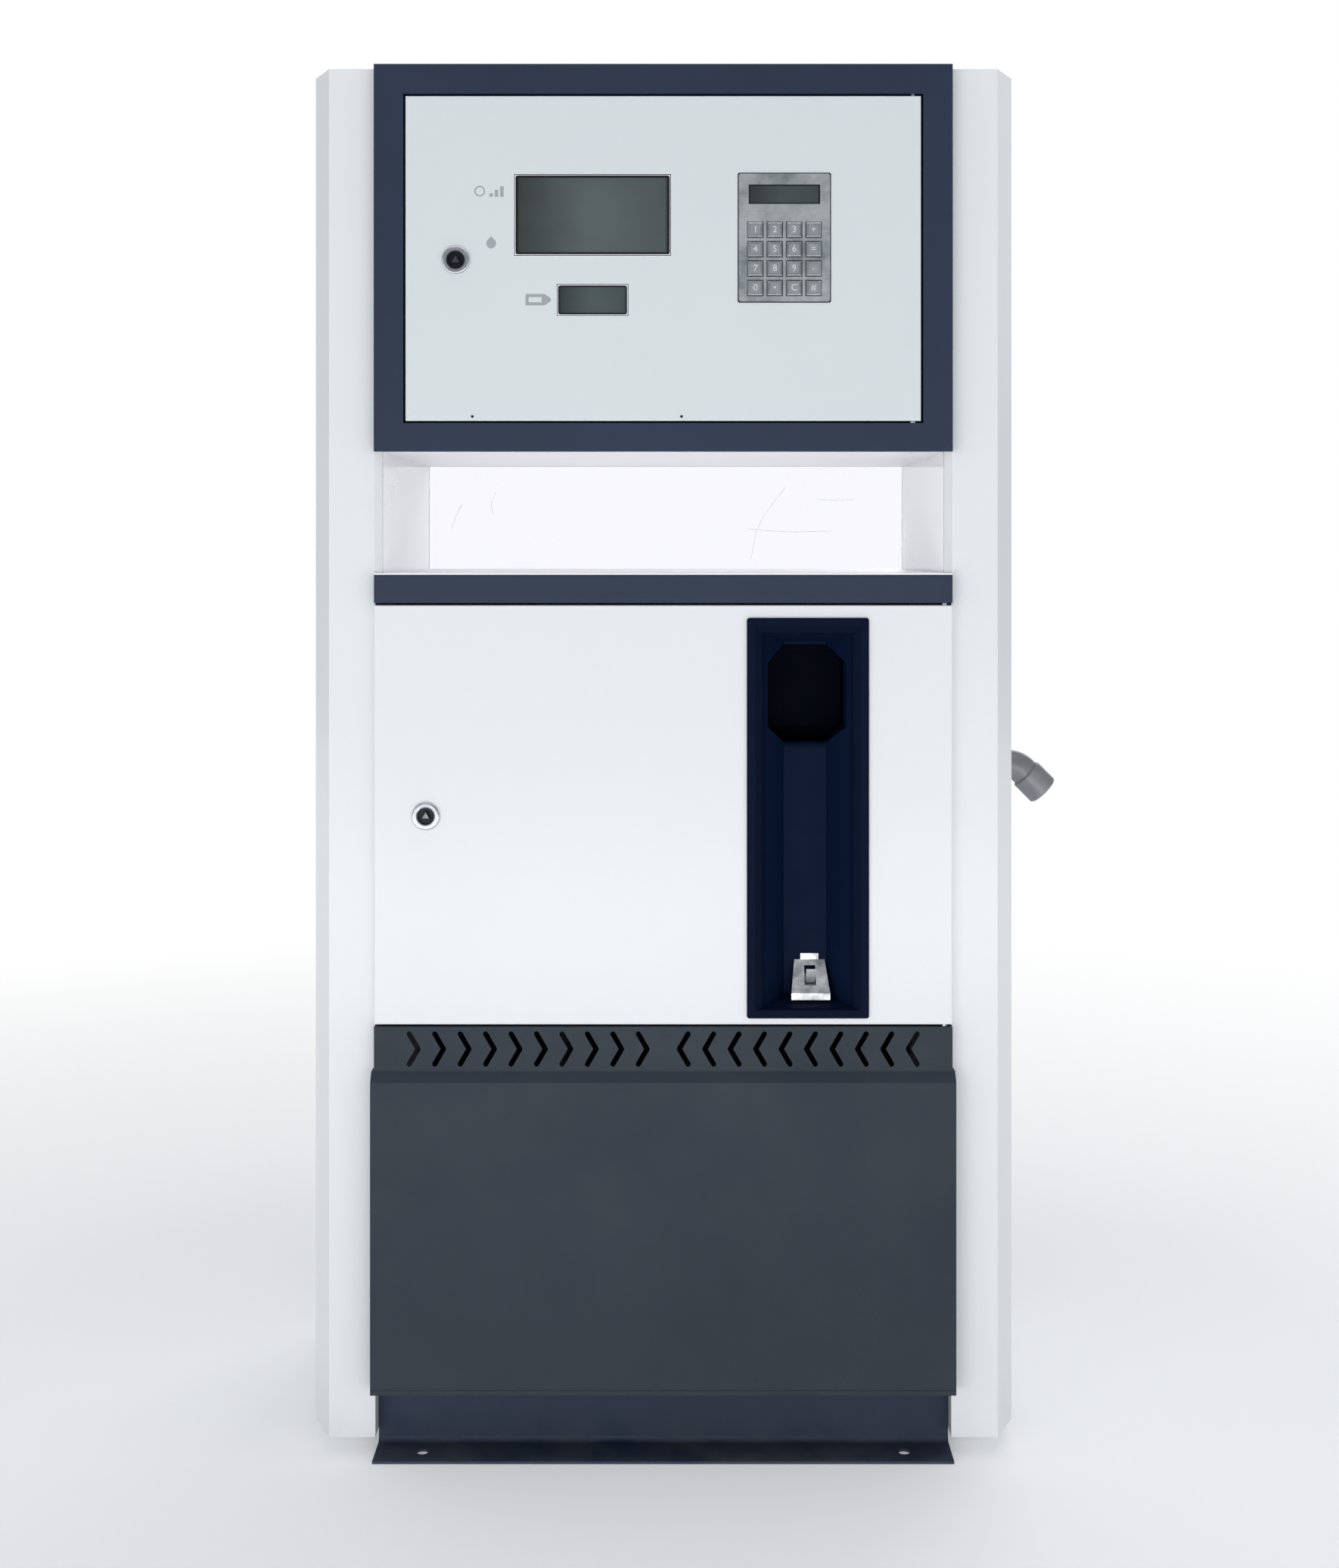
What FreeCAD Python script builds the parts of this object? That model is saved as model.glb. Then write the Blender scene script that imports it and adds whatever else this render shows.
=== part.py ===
"""Fuel dispenser with one hose: sheet-metal cabinet, electronic head, pump, meter and nozzle boot.

Frame: millimetres, +Z up, origin on the floor at the middle of the cabinet, front faces -Y.
"""
import FreeCAD, Part
import math
import os

os.makedirs("parts", exist_ok=True)

# ---------------------------------------------------------------- driving dimensions
# Heights of the sections, from the floor up
PLINTH_H = 76.0
LOWER_H = 357.0
JOGGLE_H = 11.0
VENT_H = 53.5
DOOR_H = 483.5
RAIL_H = 34.5
WINDOW_H = 139.5
HEAD_H = 445.0
# Plan
CORE_W = 665.0
DEPTH = 460.0
POST_W = 77.5
POST_SETBACK = 15.0
POST_CHAMFER_X = 24.0
POST_CHAMFER_Y = 50.0
POST_BOTTOM = 18.0
POST_TOP_DROP = 3.0
# Sheet and clearances
SHEET = 2.0
DOOR_GAP = 2.5
SIDE_GAP = 0.5
FOLD_SHARE = 0.9
CUT = 9.0
MOVE_GAP = 0.3
RUN_FIT = 0.05
# Plinth
PLINTH_SHEET = 3.0
PLINTH_DEPTH = 380.0
FOOT_FLANGE = 55.0
FOOT_BEND_R = 6.0
ANCHOR_X = 555.0
ANCHOR_INSET = 26.0
ANCHOR_R = 7.0
BEARER_Y = 100.0
BEARER_W = 40.0
BEARER_END = 20.0
# Lower panel
LOWER_PROUD = 10.0
LOWER_EXTRA = 2.5
VENT_RETURN = 25.0
CHEVRON_N = 10
CHEVRON_PITCH = 29.2
CHEVRON_FIRST = 18.5
CHEVRON_ARM_X = 10.0
CHEVRON_ARM_Z = 17.25
CHEVRON_R = 3.0
CHEVRON_RISE = 25.5
# Doors and hinges
DOOR_RETURN = 16.0
REBATE_BACK = 22.0
REBATE_W = 14.0
STRIKE_W = 20.0
HINGE_IN = 9.0
HINGE_BACK = 6.0
PIN_R = 3.0
PIN_HEAD_CLEAR = 0.2
PIN_HEAD_H = 3.0
LUG_H = 20.0
PIN_GRIP = 18.0
# Rails and clear window
RAIL_DEPTH = 40.0
CLEAR_T = 9.0
FACE_T = 3.0
CLEAR_INSET = 5.0
# Head
BEZEL_SIDE = 36.5
BEZEL_TOP = 37.0
BEZEL_BOTTOM = 35.0
BEZEL_RETURN = 30.0
BEZEL_SILL = 10.0
EDGE_R = 3.0
REAR_FLANGE = 18.0
# Displays, places from the middle of the front and heights above the foot of the head
MAIN_LCD_X = -81.0
MAIN_LCD_RISE = 271.3
MAIN_LCD_W = 177.0
MAIN_LCD_H = 90.6
PRICE_LCD_X = -81.0
PRICE_LCD_RISE = 173.7
PRICE_LCD_W = 79.0
PRICE_LCD_H = 33.4
LCD_CORNER_R = 2.5
LCD_LAP = 6.0
LCD_GLASS_T = 3.0
BOARD_T = 1.6
BOARD_LAP = 14.0
# Keypad
PAD_X = 139.0
PAD_RISE = 245.1
PAD_SIDE = 9.25
PAD_FOOT = 5.7
PAD_HEAD = 54.7
PAD_T = 1.5
PAD_LAP = 2.4
KEY_N = 4
KEY_W = 17.0
KEY_PITCH = 22.2
KEY_PROUD = 3.0
KEY_BEVEL = 1.6
KEY_FLANGE = 19.6
KEY_FLANGE_T = 2.2
KEY_TRAVEL = 1.2
PAD_LCD_W = 82.0
PAD_LCD_H = 22.3
PAD_LCD_DROP = 23.65
PAD_STUD_R = 1.5
PAD_STUD_IN = 5.3
# Cam locks
HEAD_LOCK_X = -238.0
HEAD_LOCK_RISE = 219.3
CABINET_LOCK_X = -272.3
CABINET_LOCK_RISE = 239.2
LOCK_RING_R = 16.0
LOCK_RING_T = 4.0
LOCK_BARREL_R = 13.0
LOCK_CUP_R = 11.0
LOCK_CUP_DEEP = 8.0
LOCK_SHAFT_R = 7.0
LOCK_BARREL_L = 26.0
LOCK_STUD_SIDE = 11.0
LOCK_STUD_H = 4.5
LOCK_DISC_T = 2.2
CAM_L = 52.0
CAM_W = 16.0
CAM_T = 3.0
CAM_SET = 3.0
# Nozzle boot
BOOT_X = 166.0
BOOT_RISE = 7.5
BOOT_W = 140.0
BOOT_H = 459.0
BOOT_RIM = 9.5
BOOT_RIM_T = 4.0
BOOT_BEVEL = 8.0
BOOT_BEVEL_DEEP = 6.0
BOOT_WALL = 3.0
BOOT_LAP = 4.0
CHANNEL_W = 50.0
CHANNEL_DEEP = 55.0
CHANNEL_END = 12.0
POCKET_W = 91.0
POCKET_RISE = 312.0
POCKET_H = 114.5
POCKET_CUT = 20.0
POCKET_DEEP = 112.0
SHOULDER_R = 8.0
# Nozzle hook and boot switch
HOOK_X = 171.0
HOOK_RISE = 15.0
HOOK_LIP_H = 8.0
HOOK_LIP_W = 45.0
HOOK_TOP_W = 35.5
HOOK_PLATE_H = 34.0
HOOK_REACH = 30.0
HOOK_SHEET = 2.0
HOOK_TAB_W = 21.0
HOOK_TAB_H = 7.0
HOOK_SLOT_W = 13.0
LEVER_W = 11.0
LEVER_T = 3.0
LEVER_L = 31.0
LEVER_BOSS_R = 3.6
LEVER_PIN_R = 1.5
LEVER_BACK = 9.0
LEVER_RISE = 14.0
LEVER_LEAN = 47.0
SWITCH_W = 40.0
SWITCH_H = 50.0
SWITCH_T = 22.0
# Pump, motor and belt
PUMP_X = -120.0
PUMP_W = 200.0
PUMP_L = 200.0
PUMP_FOOT_H = 42.0
PUMP_H = 260.0
PUMP_COVER_R = 85.0
PUMP_COVER_T = 14.0
PUMP_SHAFT_RISE = 130.0
MOTOR_X = 185.0
MOTOR_R = 80.0
MOTOR_L = 205.0
MOTOR_PLATE_T = 8.0
MOTOR_PLATE_W = 150.0
MACHINE_FRONT = -85.0
SHAFT_R = 11.0
SHAFT_GRIP = 40.0
PULLEY_GAP = 12.0
PUMP_PULLEY_R = 90.0
MOTOR_PULLEY_R = 35.0
BELT_W = 12.0
BELT_T = 8.0
BELT_SPARE = 1.0
GROOVE_DEEP = 6.0
PULLEY_CHEEK = 5.0
# Hydraulics
PIPE_R = 17.0
PIPE_BORE_R = 13.0
PIPE_CLEAR = 1.0
PORT_R = 27.2
DOME_R = 42.5
DOME_SET = 160.0
METER_R = 65.0
METER_H = 130.0
METER_BELOW = 65.0
PULSER_R = 42.0
PULSER_H = 55.0
VALVE_X = 60.0
VALVE_L = 80.0
VALVE_W = 56.0
COIL_R = 24.0
COIL_H = 70.0
SUCTION_R = 24.0
SUCTION_BORE_R = 20.0
SUCTION_CLEAR = 5.0
SUCTION_FLANGE_R = 50.0
SUCTION_FLANGE_T = 12.0
SUCTION_PCD = 80.0
SUCTION_HOLE_R = 5.0
# Hose outlet
OUTLET_Z = 772.0
OUTLET_REACH = 33.0
OUTLET_R = 18.0
OUTLET_BEND_R = 24.0
OUTLET_BORE_R = 9.0
OUTLET_FLANGE_R = 24.0
OUTLET_FLANGE_T = 4.0
OUTLET_NECK = 15.1
SPIGOT_R = 12.0
SPIGOT_L = 14.0
NUT_R = 20.5
NUT_L = 32.0
NUT_BORE_R = 13.5
# Inner boxes
JUNCTION_W = 90.0
JUNCTION_D = 120.0
JUNCTION_H = 140.0
JUNCTION_Y = 60.0
JUNCTION_RISE = 60.0
GLAND_R = 12.0
GLAND_L = 18.0
CONTROL_X = -250.0
CONTROL_W = 230.0
CONTROL_D = 110.0
CONTROL_H = 175.0
CONTROL_Y = 80.0
# Screws
SCREW_R = 2.5
SCREW_HEAD_R = 5.0
SCREW_HEAD_H = 2.5
SCREW_L = 8.0
SCREW_INSET = 16.0

# ---------------------------------------------------------------- levels and planes worked out
HALF = CORE_W / 2
FRONT = -DEPTH / 2
REAR = DEPTH / 2
Z_LOWER = PLINTH_H
Z_JOGGLE = Z_LOWER + LOWER_H
Z_VENT = Z_JOGGLE + JOGGLE_H
Z_DOOR = Z_VENT + VENT_H
Z_RAIL = Z_DOOR + DOOR_H
Z_WINDOW = Z_RAIL + RAIL_H
Z_HEAD = Z_WINDOW + WINDOW_H
Z_TOP = Z_HEAD + HEAD_H
POST_OUT = HALF + POST_W
POST_FACE = FRONT + POST_SETBACK
REBATE_Y = FRONT + REBATE_BACK
HEAD_DOOR_HALF = HALF - BEZEL_SIDE
HEAD_DOOR_Z0 = Z_HEAD + BEZEL_BOTTOM
HEAD_DOOR_Z1 = Z_TOP - BEZEL_TOP
CABINET_DOOR_HALF = HALF - SIDE_GAP
CABINET_DOOR_Z1 = Z_RAIL - DOOR_GAP
KEY_FIELD = (KEY_N - 1) * KEY_PITCH + KEY_FLANGE
PAD_W = KEY_FIELD + 2 * PAD_SIDE
PAD_H = KEY_FIELD + PAD_FOOT + PAD_HEAD
PAD_Z = Z_HEAD + PAD_RISE
KEYS_DROP = (PAD_HEAD - PAD_FOOT) / 2
PAD_LCD_RISE = PAD_H / 2 - PAD_LCD_DROP
BOOT_Z0 = Z_DOOR + BOOT_RISE
BOOT_Z1 = BOOT_Z0 + BOOT_H
CHANNEL_Y = FRONT + CHANNEL_DEEP
PIN_HEAD_R = HINGE_BACK - SHEET - PIN_HEAD_CLEAR
Y_AXIS = FreeCAD.Vector(0, 1, 0)
X_AXIS = FreeCAD.Vector(1, 0, 0)
Z_AXIS = FreeCAD.Vector(0, 0, 1)


# ---------------------------------------------------------------- shape helpers
def box(x0, x1, y0, y1, z0, z1):
    """Block between two corners."""
    return Part.makeBox(x1 - x0, y1 - y0, z1 - z0, FreeCAD.Vector(x0, y0, z0))


def rod(radius, length, x, y, z, axis):
    """Cylinder that starts at a point and runs along an axis."""
    return Part.makeCylinder(radius, length, FreeCAD.Vector(x, y, z), axis)


def wire_xz(points, y):
    """Closed outline in a plane parallel to the front."""
    corners = [FreeCAD.Vector(x, y, z) for x, z in points]
    return Part.makePolygon(corners + corners[:1])


def prism_xz(points, y0, y1):
    """Outline drawn as seen from the front, carried from y0 to y1."""
    return Part.Face(wire_xz(points, y0)).extrude(FreeCAD.Vector(0, y1 - y0, 0))


def prism_yz(points, x0, x1):
    """Outline drawn as seen from the side, carried from x0 to x1."""
    corners = [FreeCAD.Vector(x0, y, z) for y, z in points]
    outline = Part.makePolygon(corners + corners[:1])
    return Part.Face(outline).extrude(FreeCAD.Vector(x1 - x0, 0, 0))


def rectangle(cx, cz, width, height):
    """Corner points of an upright rectangle."""
    return [(cx - width / 2, cz - height / 2), (cx + width / 2, cz - height / 2),
            (cx + width / 2, cz + height / 2), (cx - width / 2, cz + height / 2)]


def rounded_block(cx, cz, width, height, y0, y1, radius):
    """Upright plate with rounded corners."""
    plate = prism_xz(rectangle(cx, cz, width, height), y0, y1)
    corners = [e for e in plate.Edges if abs(abs(e.tangentAt(e.FirstParameter).y) - 1) < 1e-6]
    return plate.makeFillet(radius, corners)


def join(first, *others):
    """One solid from pieces that touch."""
    return first.multiFuse(list(others)).removeSplitter()


def edges_along(shape, direction, test):
    """Straight edges that run along a direction and pass a test on their middle point."""
    found = []
    for edge in shape.Edges:
        along = abs(edge.tangentAt(edge.FirstParameter).dot(direction))
        if abs(along - 1) < 1e-6 and test(edge.CenterOfMass):
            found.append(edge)
    return found


def mirror_x(shape):
    """The same piece on the other side of the cabinet."""
    return shape.mirror(FreeCAD.Vector(0, 0, 0), X_AXIS)


def half_turn(shape):
    """The same piece at the back of the cabinet."""
    turned = shape.copy()
    turned.rotate(FreeCAD.Vector(0, 0, 0), Z_AXIS, 180)
    return turned


def save(node, *solids):
    """Write one node: a solid, or a group of separate solids."""
    shape = solids[0] if len(solids) == 1 else Part.makeCompound(list(solids))
    shape.exportStep(f"parts/{node}.step")


# ---------------------------------------------------------------- plinth
def base_frame():
    """Welded plinth with out-turned feet, and two bearers that carry the machines and the posts."""
    half_y = PLINTH_DEPTH / 2
    half_x = HALF - SIDE_GAP
    outer = box(-half_x, half_x, -half_y, half_y, 0, PLINTH_H)
    t = PLINTH_SHEET
    ring = outer.cut(box(-half_x + t, half_x - t, -half_y + t, half_y - t, -1, PLINTH_H + 1))
    foot = box(-half_x, half_x, -half_y - FOOT_FLANGE, -half_y + t, 0, t)
    bearers = []
    for side in (-1, 1):
        y = side * BEARER_Y
        end = POST_OUT - BEARER_END
        bearers.append(box(-end, end, y - BEARER_W / 2, y + BEARER_W / 2, 0, POST_BOTTOM))
    frame = join(ring, foot, half_turn(foot), *bearers)
    bends = edges_along(frame, X_AXIS, lambda p: abs(abs(p.y) - half_y) < 0.01 and abs(p.z - t) < 0.01)
    frame = frame.makeFillet(FOOT_BEND_R, bends)
    anchor_y = half_y + FOOT_FLANGE - ANCHOR_INSET
    for x in (-ANCHOR_X / 2, ANCHOR_X / 2):
        for y in (-anchor_y, anchor_y):
            frame = frame.cut(rod(ANCHOR_R, t + 2, x, y, -1, Z_AXIS))
    return frame


# ---------------------------------------------------------------- corner posts
def post_outline(inset):
    """Plan outline of the right-hand post, drawn in by the sheet thickness when inset."""
    slope = math.hypot(POST_CHAMFER_X, POST_CHAMFER_Y)
    run_x = inset * (slope - POST_CHAMFER_X) / POST_CHAMFER_Y
    run_y = inset * (slope - POST_CHAMFER_Y) / POST_CHAMFER_X
    inner = HALF + inset
    outer = POST_OUT - inset
    face = -POST_FACE - inset
    bend_x = POST_OUT - POST_CHAMFER_X - run_x
    bend_y = -POST_FACE - POST_CHAMFER_Y - run_y
    return [(inner, -face), (bend_x, -face), (outer, -bend_y), (outer, bend_y),
            (bend_x, face), (inner, face)]


def prism_up(points, z0, z1):
    """Plan outline carried upwards."""
    corners = [FreeCAD.Vector(x, y, z0) for x, y in points]
    outline = Part.makePolygon(corners + corners[:1])
    return Part.Face(outline).extrude(FreeCAD.Vector(0, 0, z1 - z0))


def corner_post():
    """Right-hand post: closed folded column with the door strike and the rear cover's angle."""
    top = Z_TOP - POST_TOP_DROP
    column = prism_up(post_outline(0), POST_BOTTOM, top)
    column = column.cut(prism_up(post_outline(SHEET), POST_BOTTOM + SHEET, top - SHEET))
    strike = box(HALF - STRIKE_W, HALF, REBATE_Y, REBATE_Y + SHEET, Z_DOOR, CABINET_DOOR_Z1)
    rear_y = REAR - SHEET
    angle = box(HALF - SHEET, HALF, rear_y - 2 * STRIKE_W, rear_y, Z_DOOR, CABINET_DOOR_Z1)
    seat = box(HALF - STRIKE_W, HALF, rear_y - SHEET, rear_y, Z_DOOR, CABINET_DOOR_Z1)
    post = join(column, strike, angle, seat)
    cable_hole = rod(2 * PIPE_R, SHEET + 2, HALF + POST_W / 2, 0, POST_BOTTOM - 1, Z_AXIS)
    post = post.cut(cable_hole)
    for x, z in rear_cover_screws():
        if x > 0:
            post = post.cut(rod(SCREW_R + RUN_FIT, SCREW_L, x, REAR - SCREW_L, z, Y_AXIS))
    return post


# ---------------------------------------------------------------- dark lower panels
def chevron(tip_x, z, point_x):
    """One vent slot: two round-ended arms that meet at a tip."""
    slot = rod(CHEVRON_R, 4 * SHEET, tip_x, FRONT - SHEET, z, Y_AXIS)
    for lift in (-CHEVRON_ARM_Z, CHEVRON_ARM_Z):
        end_x = tip_x + point_x * CHEVRON_ARM_X
        end_z = z + lift
        length = math.hypot(CHEVRON_ARM_X, CHEVRON_ARM_Z)
        off_x = -lift / length * CHEVRON_R
        off_z = point_x * CHEVRON_ARM_X / length * CHEVRON_R
        arm = prism_xz([(tip_x - off_x, z - off_z), (end_x - off_x, end_z - off_z),
                        (end_x + off_x, end_z + off_z), (tip_x + off_x, z + off_z)],
                       FRONT - SHEET, FRONT + 3 * SHEET)
        slot = slot.fuse([arm, rod(CHEVRON_R, 4 * SHEET, end_x, FRONT - SHEET, end_z, Y_AXIS)])
    return slot


def lower_panel():
    """Front panel: lip on the plinth, proud face, sloped joggle and the slotted vent band."""
    t = SHEET
    proud = FRONT - LOWER_PROUD
    top = Z_DOOR - DOOR_GAP
    lip = -PLINTH_DEPTH / 2 + PLINTH_SHEET
    wide = HALF + LOWER_EXTRA
    band = HALF - SIDE_GAP
    skin = prism_yz([(lip, Z_LOWER), (proud, Z_LOWER), (proud, Z_JOGGLE), (FRONT, Z_VENT),
                     (FRONT + t, Z_VENT), (proud + t, Z_JOGGLE), (proud + t, Z_LOWER + t),
                     (lip, Z_LOWER + t)], -band, band)
    vents = prism_yz([(FRONT, Z_VENT), (FRONT, top), (FRONT + VENT_RETURN, top),
                      (FRONT + VENT_RETURN, top - t), (FRONT + t, top - t), (FRONT + t, Z_VENT)],
                     -band, band)
    pieces = [vents]
    for side in (-1, 1):
        x0, x1 = sorted((side * band, side * wide))
        edge = prism_yz([(proud, Z_LOWER), (proud, Z_JOGGLE), (FRONT, Z_VENT), (POST_FACE, Z_VENT),
                         (POST_FACE, Z_LOWER)], x0, x1)
        x0, x1 = sorted((side * (band - t), side * band))
        cheek = box(x0, x1, FRONT, FRONT + VENT_RETURN, Z_JOGGLE, top)
        pieces += [edge, cheek]
    panel = join(skin, *pieces)
    for i in range(CHEVRON_N):
        tip_x = CHEVRON_FIRST + i * CHEVRON_PITCH
        for side in (-1, 1):
            panel = panel.cut(chevron(side * tip_x, Z_VENT + CHEVRON_RISE, side))
    pin_hole = rod(PIN_R + RUN_FIT, 3 * t, HALF - SIDE_GAP - HINGE_IN, FRONT + HINGE_BACK, top - 2 * t,
                   Z_AXIS)
    return panel.cut(pin_hole)


# ---------------------------------------------------------------- rails, clear window
def cross_rail():
    """Front rail under the window: channel with closed ends, bored for the cabinet door's pin."""
    end = HALF - SIDE_GAP
    top = Z_WINDOW - SHEET
    t = SHEET
    body = box(-end, end, FRONT, FRONT + RAIL_DEPTH, Z_RAIL, top)
    body = body.cut(box(-end + t, end - t, FRONT + t, FRONT + RAIL_DEPTH + 1, Z_RAIL + t, top - t))
    fold = edges_along(body, X_AXIS, lambda p: abs(p.y - FRONT) < 0.01)
    body = body.makeFillet(t * FOLD_SHARE, fold)
    pin_x = HALF - SIDE_GAP - HINGE_IN
    return body.cut(rod(PIN_R + RUN_FIT, 3 * t, pin_x, FRONT + HINGE_BACK, Z_RAIL - t, Z_AXIS))


def window_floor():
    """White tray across both rails, the floor of the clear window."""
    end = HALF - SIDE_GAP
    return box(-end, end, FRONT + SHEET / 2, REAR - SHEET / 2, Z_WINDOW - SHEET, Z_WINDOW)


def window_sides():
    """Two thick clear sheets that stand along the posts."""
    x1 = HALF - SIDE_GAP
    right = box(x1 - CLEAR_T, x1, FRONT + CLEAR_INSET, REAR - CLEAR_INSET, Z_WINDOW, Z_HEAD)
    return right, mirror_x(right)


def window_faces():
    """Clear sheets at the front and back of the window, between the side sheets."""
    x1 = HALF - SIDE_GAP - CLEAR_T
    y0 = FRONT + CLEAR_INSET + SHEET
    front = box(-x1, x1, y0, y0 + FACE_T, Z_WINDOW, Z_HEAD)
    return front, half_turn(front)


# ---------------------------------------------------------------- head casing
def bezel_hinge_hole(z):
    """Hole for a head door pin in the folded edge of the opening."""
    return rod(PIN_R + RUN_FIT, 3 * SHEET, HEAD_DOOR_HALF - HINGE_IN, FRONT + HINGE_BACK, z, Z_AXIS)


def head_front_frame():
    """Front bezel: folded ring with a rebate that the head door closes into."""
    t = SHEET
    in_x = HEAD_DOOR_HALF + DOOR_GAP
    in_z0 = HEAD_DOOR_Z0 - DOOR_GAP
    in_z1 = HEAD_DOOR_Z1 + DOOR_GAP
    face = box(-HALF, HALF, FRONT, FRONT + t, Z_HEAD, Z_TOP)
    rim = box(-HALF, HALF, FRONT, FRONT + BEZEL_RETURN, Z_HEAD + t, Z_TOP)
    rim = rim.cut(box(-HALF + t, HALF - t, FRONT, FRONT + BEZEL_RETURN, Z_HEAD, Z_TOP - t))
    sill = box(-HALF, HALF, FRONT, FRONT + BEZEL_SILL, Z_HEAD, Z_HEAD + t)
    tunnel = box(-in_x - t, in_x + t, FRONT, REBATE_Y + t, in_z0 - t, in_z1 + t)
    lip = REBATE_W
    tunnel = tunnel.cut(box(-in_x + lip, in_x - lip, FRONT, REBATE_Y + t, in_z0 + lip, in_z1 - lip))
    frame = join(face, rim, sill, tunnel)
    frame = frame.cut(box(-in_x, in_x, FRONT - 1, REBATE_Y, in_z0, in_z1))
    corners = edges_along(frame, X_AXIS, lambda p: p.y < FRONT + 0.01 and abs(p.z - Z_TOP) < 0.01)
    corners += edges_along(frame, X_AXIS, lambda p: p.y < FRONT + 0.01 and abs(p.z - Z_HEAD) < 0.01)
    corners += edges_along(frame, Z_AXIS, lambda p: p.y < FRONT + 0.01 and abs(abs(p.x) - HALF) < 0.01)
    frame = frame.makeFillet(min(EDGE_R, t * FOLD_SHARE), corners)
    frame = frame.cut(bezel_hinge_hole(in_z1 - t))
    return frame.cut(bezel_hinge_hole(in_z0 - 2 * t))


def head_cover():
    """Folded top and sides of the head, with a flange at the back for the rear cover."""
    t = SHEET
    y0 = FRONT + BEZEL_RETURN
    y1 = REAR - t
    cover = box(-HALF, HALF, y0, y1, Z_HEAD + t, Z_TOP)
    hollow = box(-HALF + t, HALF - t, y0 - 1, y1 - t, Z_HEAD - 1, Z_TOP - t)
    lip = REAR_FLANGE
    doorway = box(-HALF + t + lip, HALF - t - lip, y0 - 1, y1 + 1, Z_HEAD - 1, Z_TOP - t - lip)
    cover = cover.cut(hollow).cut(doorway)
    for x, z in head_cover_screws():
        cover = cover.cut(rod(SCREW_R + RUN_FIT, SCREW_L, x, REAR - SCREW_L, z, Y_AXIS))
    return cover


def head_floor():
    """White plate that closes the head underneath and forms the window's ceiling."""
    return box(-HALF + SHEET, HALF - SHEET, FRONT + BEZEL_SILL, REAR - SHEET, Z_HEAD, Z_HEAD + SHEET)


def head_cover_screws():
    """Places of the screws that hold the head's rear cover."""
    x = HALF - SCREW_INSET + SHEET
    rows = (Z_HEAD + 2 * SCREW_INSET, Z_HEAD + HEAD_H / 2, Z_TOP - 2 * SCREW_INSET)
    return [(side * x, z) for side in (-1, 1) for z in rows]


def rear_cover_screws():
    """Places of the screws that hold the cabinet's rear cover."""
    x = HALF - SCREW_INSET + SHEET
    rows = (Z_DOOR + 2 * SCREW_INSET, Z_DOOR + DOOR_H / 2, Z_RAIL - 2 * SCREW_INSET)
    return [(side * x, z) for side in (-1, 1) for z in rows]


def rear_plate(z0, z1, half, screws):
    """Flat screwed cover at the back."""
    plate = box(-half, half, REAR - SHEET, REAR, z0, z1)
    for x, z in screws:
        plate = plate.cut(rod(SCREW_R + RUN_FIT, 2 * SHEET, x, REAR - SHEET * 1.5, z, Y_AXIS))
    return plate


def panel_screw(x, z):
    """Round-headed screw, driven in from the back."""
    head = rod(SCREW_HEAD_R, SCREW_HEAD_H, x, REAR, z, Y_AXIS)
    return join(head, rod(SCREW_R, SCREW_L, x, REAR - SCREW_L + 1, z, Y_AXIS))


# ---------------------------------------------------------------- doors and hinge pins
def door_tray(half, z0, z1):
    """Folded door skin with returns, and a bored lug at each end of its hinge edge."""
    t = SHEET
    back = FRONT + DOOR_RETURN
    tray = box(-half, half, FRONT, back, z0, z1)
    tray = tray.cut(box(-half + t, half - t, FRONT + t, back + 1, z0 + t, z1 - t))
    fold = edges_along(tray, X_AXIS, lambda p: abs(p.y - FRONT) < 0.01)
    fold += edges_along(tray, Z_AXIS, lambda p: abs(p.y - FRONT) < 0.01)
    tray = tray.makeFillet(t * FOLD_SHARE, fold)
    pin_x = half - HINGE_IN
    reach = HINGE_IN - t
    for z in (z0 + t, z1 - t - LUG_H):
        lug = box(pin_x - reach, pin_x + reach, FRONT + t, FRONT + 2 * HINGE_BACK, z, z + LUG_H)
        tray = join(tray, lug)
    for z in (z0 - 1, z1 - t - LUG_H - 1):
        tray = tray.cut(rod(PIN_R + RUN_FIT, LUG_H + t + 2, pin_x, FRONT + HINGE_BACK, z, Z_AXIS))
    return tray


def hinge_pin_up(x, door_z, plate_z):
    """Pin at the top of a door: hangs from the folded plate above."""
    y = FRONT + HINGE_BACK
    seat = plate_z + SHEET
    shaft = rod(PIN_R, seat - door_z + PIN_GRIP, x, y, door_z - PIN_GRIP, Z_AXIS)
    return join(shaft, rod(PIN_HEAD_R, PIN_HEAD_H, x, y, seat, Z_AXIS))


def hinge_pin_down(x, door_z, plate_z):
    """Pin at the foot of a door: stands on the plate below, with a collar that carries the door."""
    y = FRONT + HINGE_BACK
    seat = plate_z - SHEET
    shaft = rod(PIN_R, door_z + PIN_GRIP - seat, x, y, seat, Z_AXIS)
    head = rod(PIN_HEAD_R, PIN_HEAD_H, x, y, seat - PIN_HEAD_H, Z_AXIS)
    collar = rod(PIN_HEAD_R, door_z - MOVE_GAP - plate_z, x, y, plate_z, Z_AXIS)
    return join(shaft, head, collar)


def display_places():
    """Centre and window size of the two customer displays."""
    return [(MAIN_LCD_X, Z_HEAD + MAIN_LCD_RISE, MAIN_LCD_W, MAIN_LCD_H),
            (PRICE_LCD_X, Z_HEAD + PRICE_LCD_RISE, PRICE_LCD_W, PRICE_LCD_H)]


def lock_hole(x, z):
    """Hole in a door skin for a cam lock."""
    return rod(LOCK_BARREL_R + RUN_FIT, 3 * SHEET, x, FRONT - SHEET, z, Y_AXIS)


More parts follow.
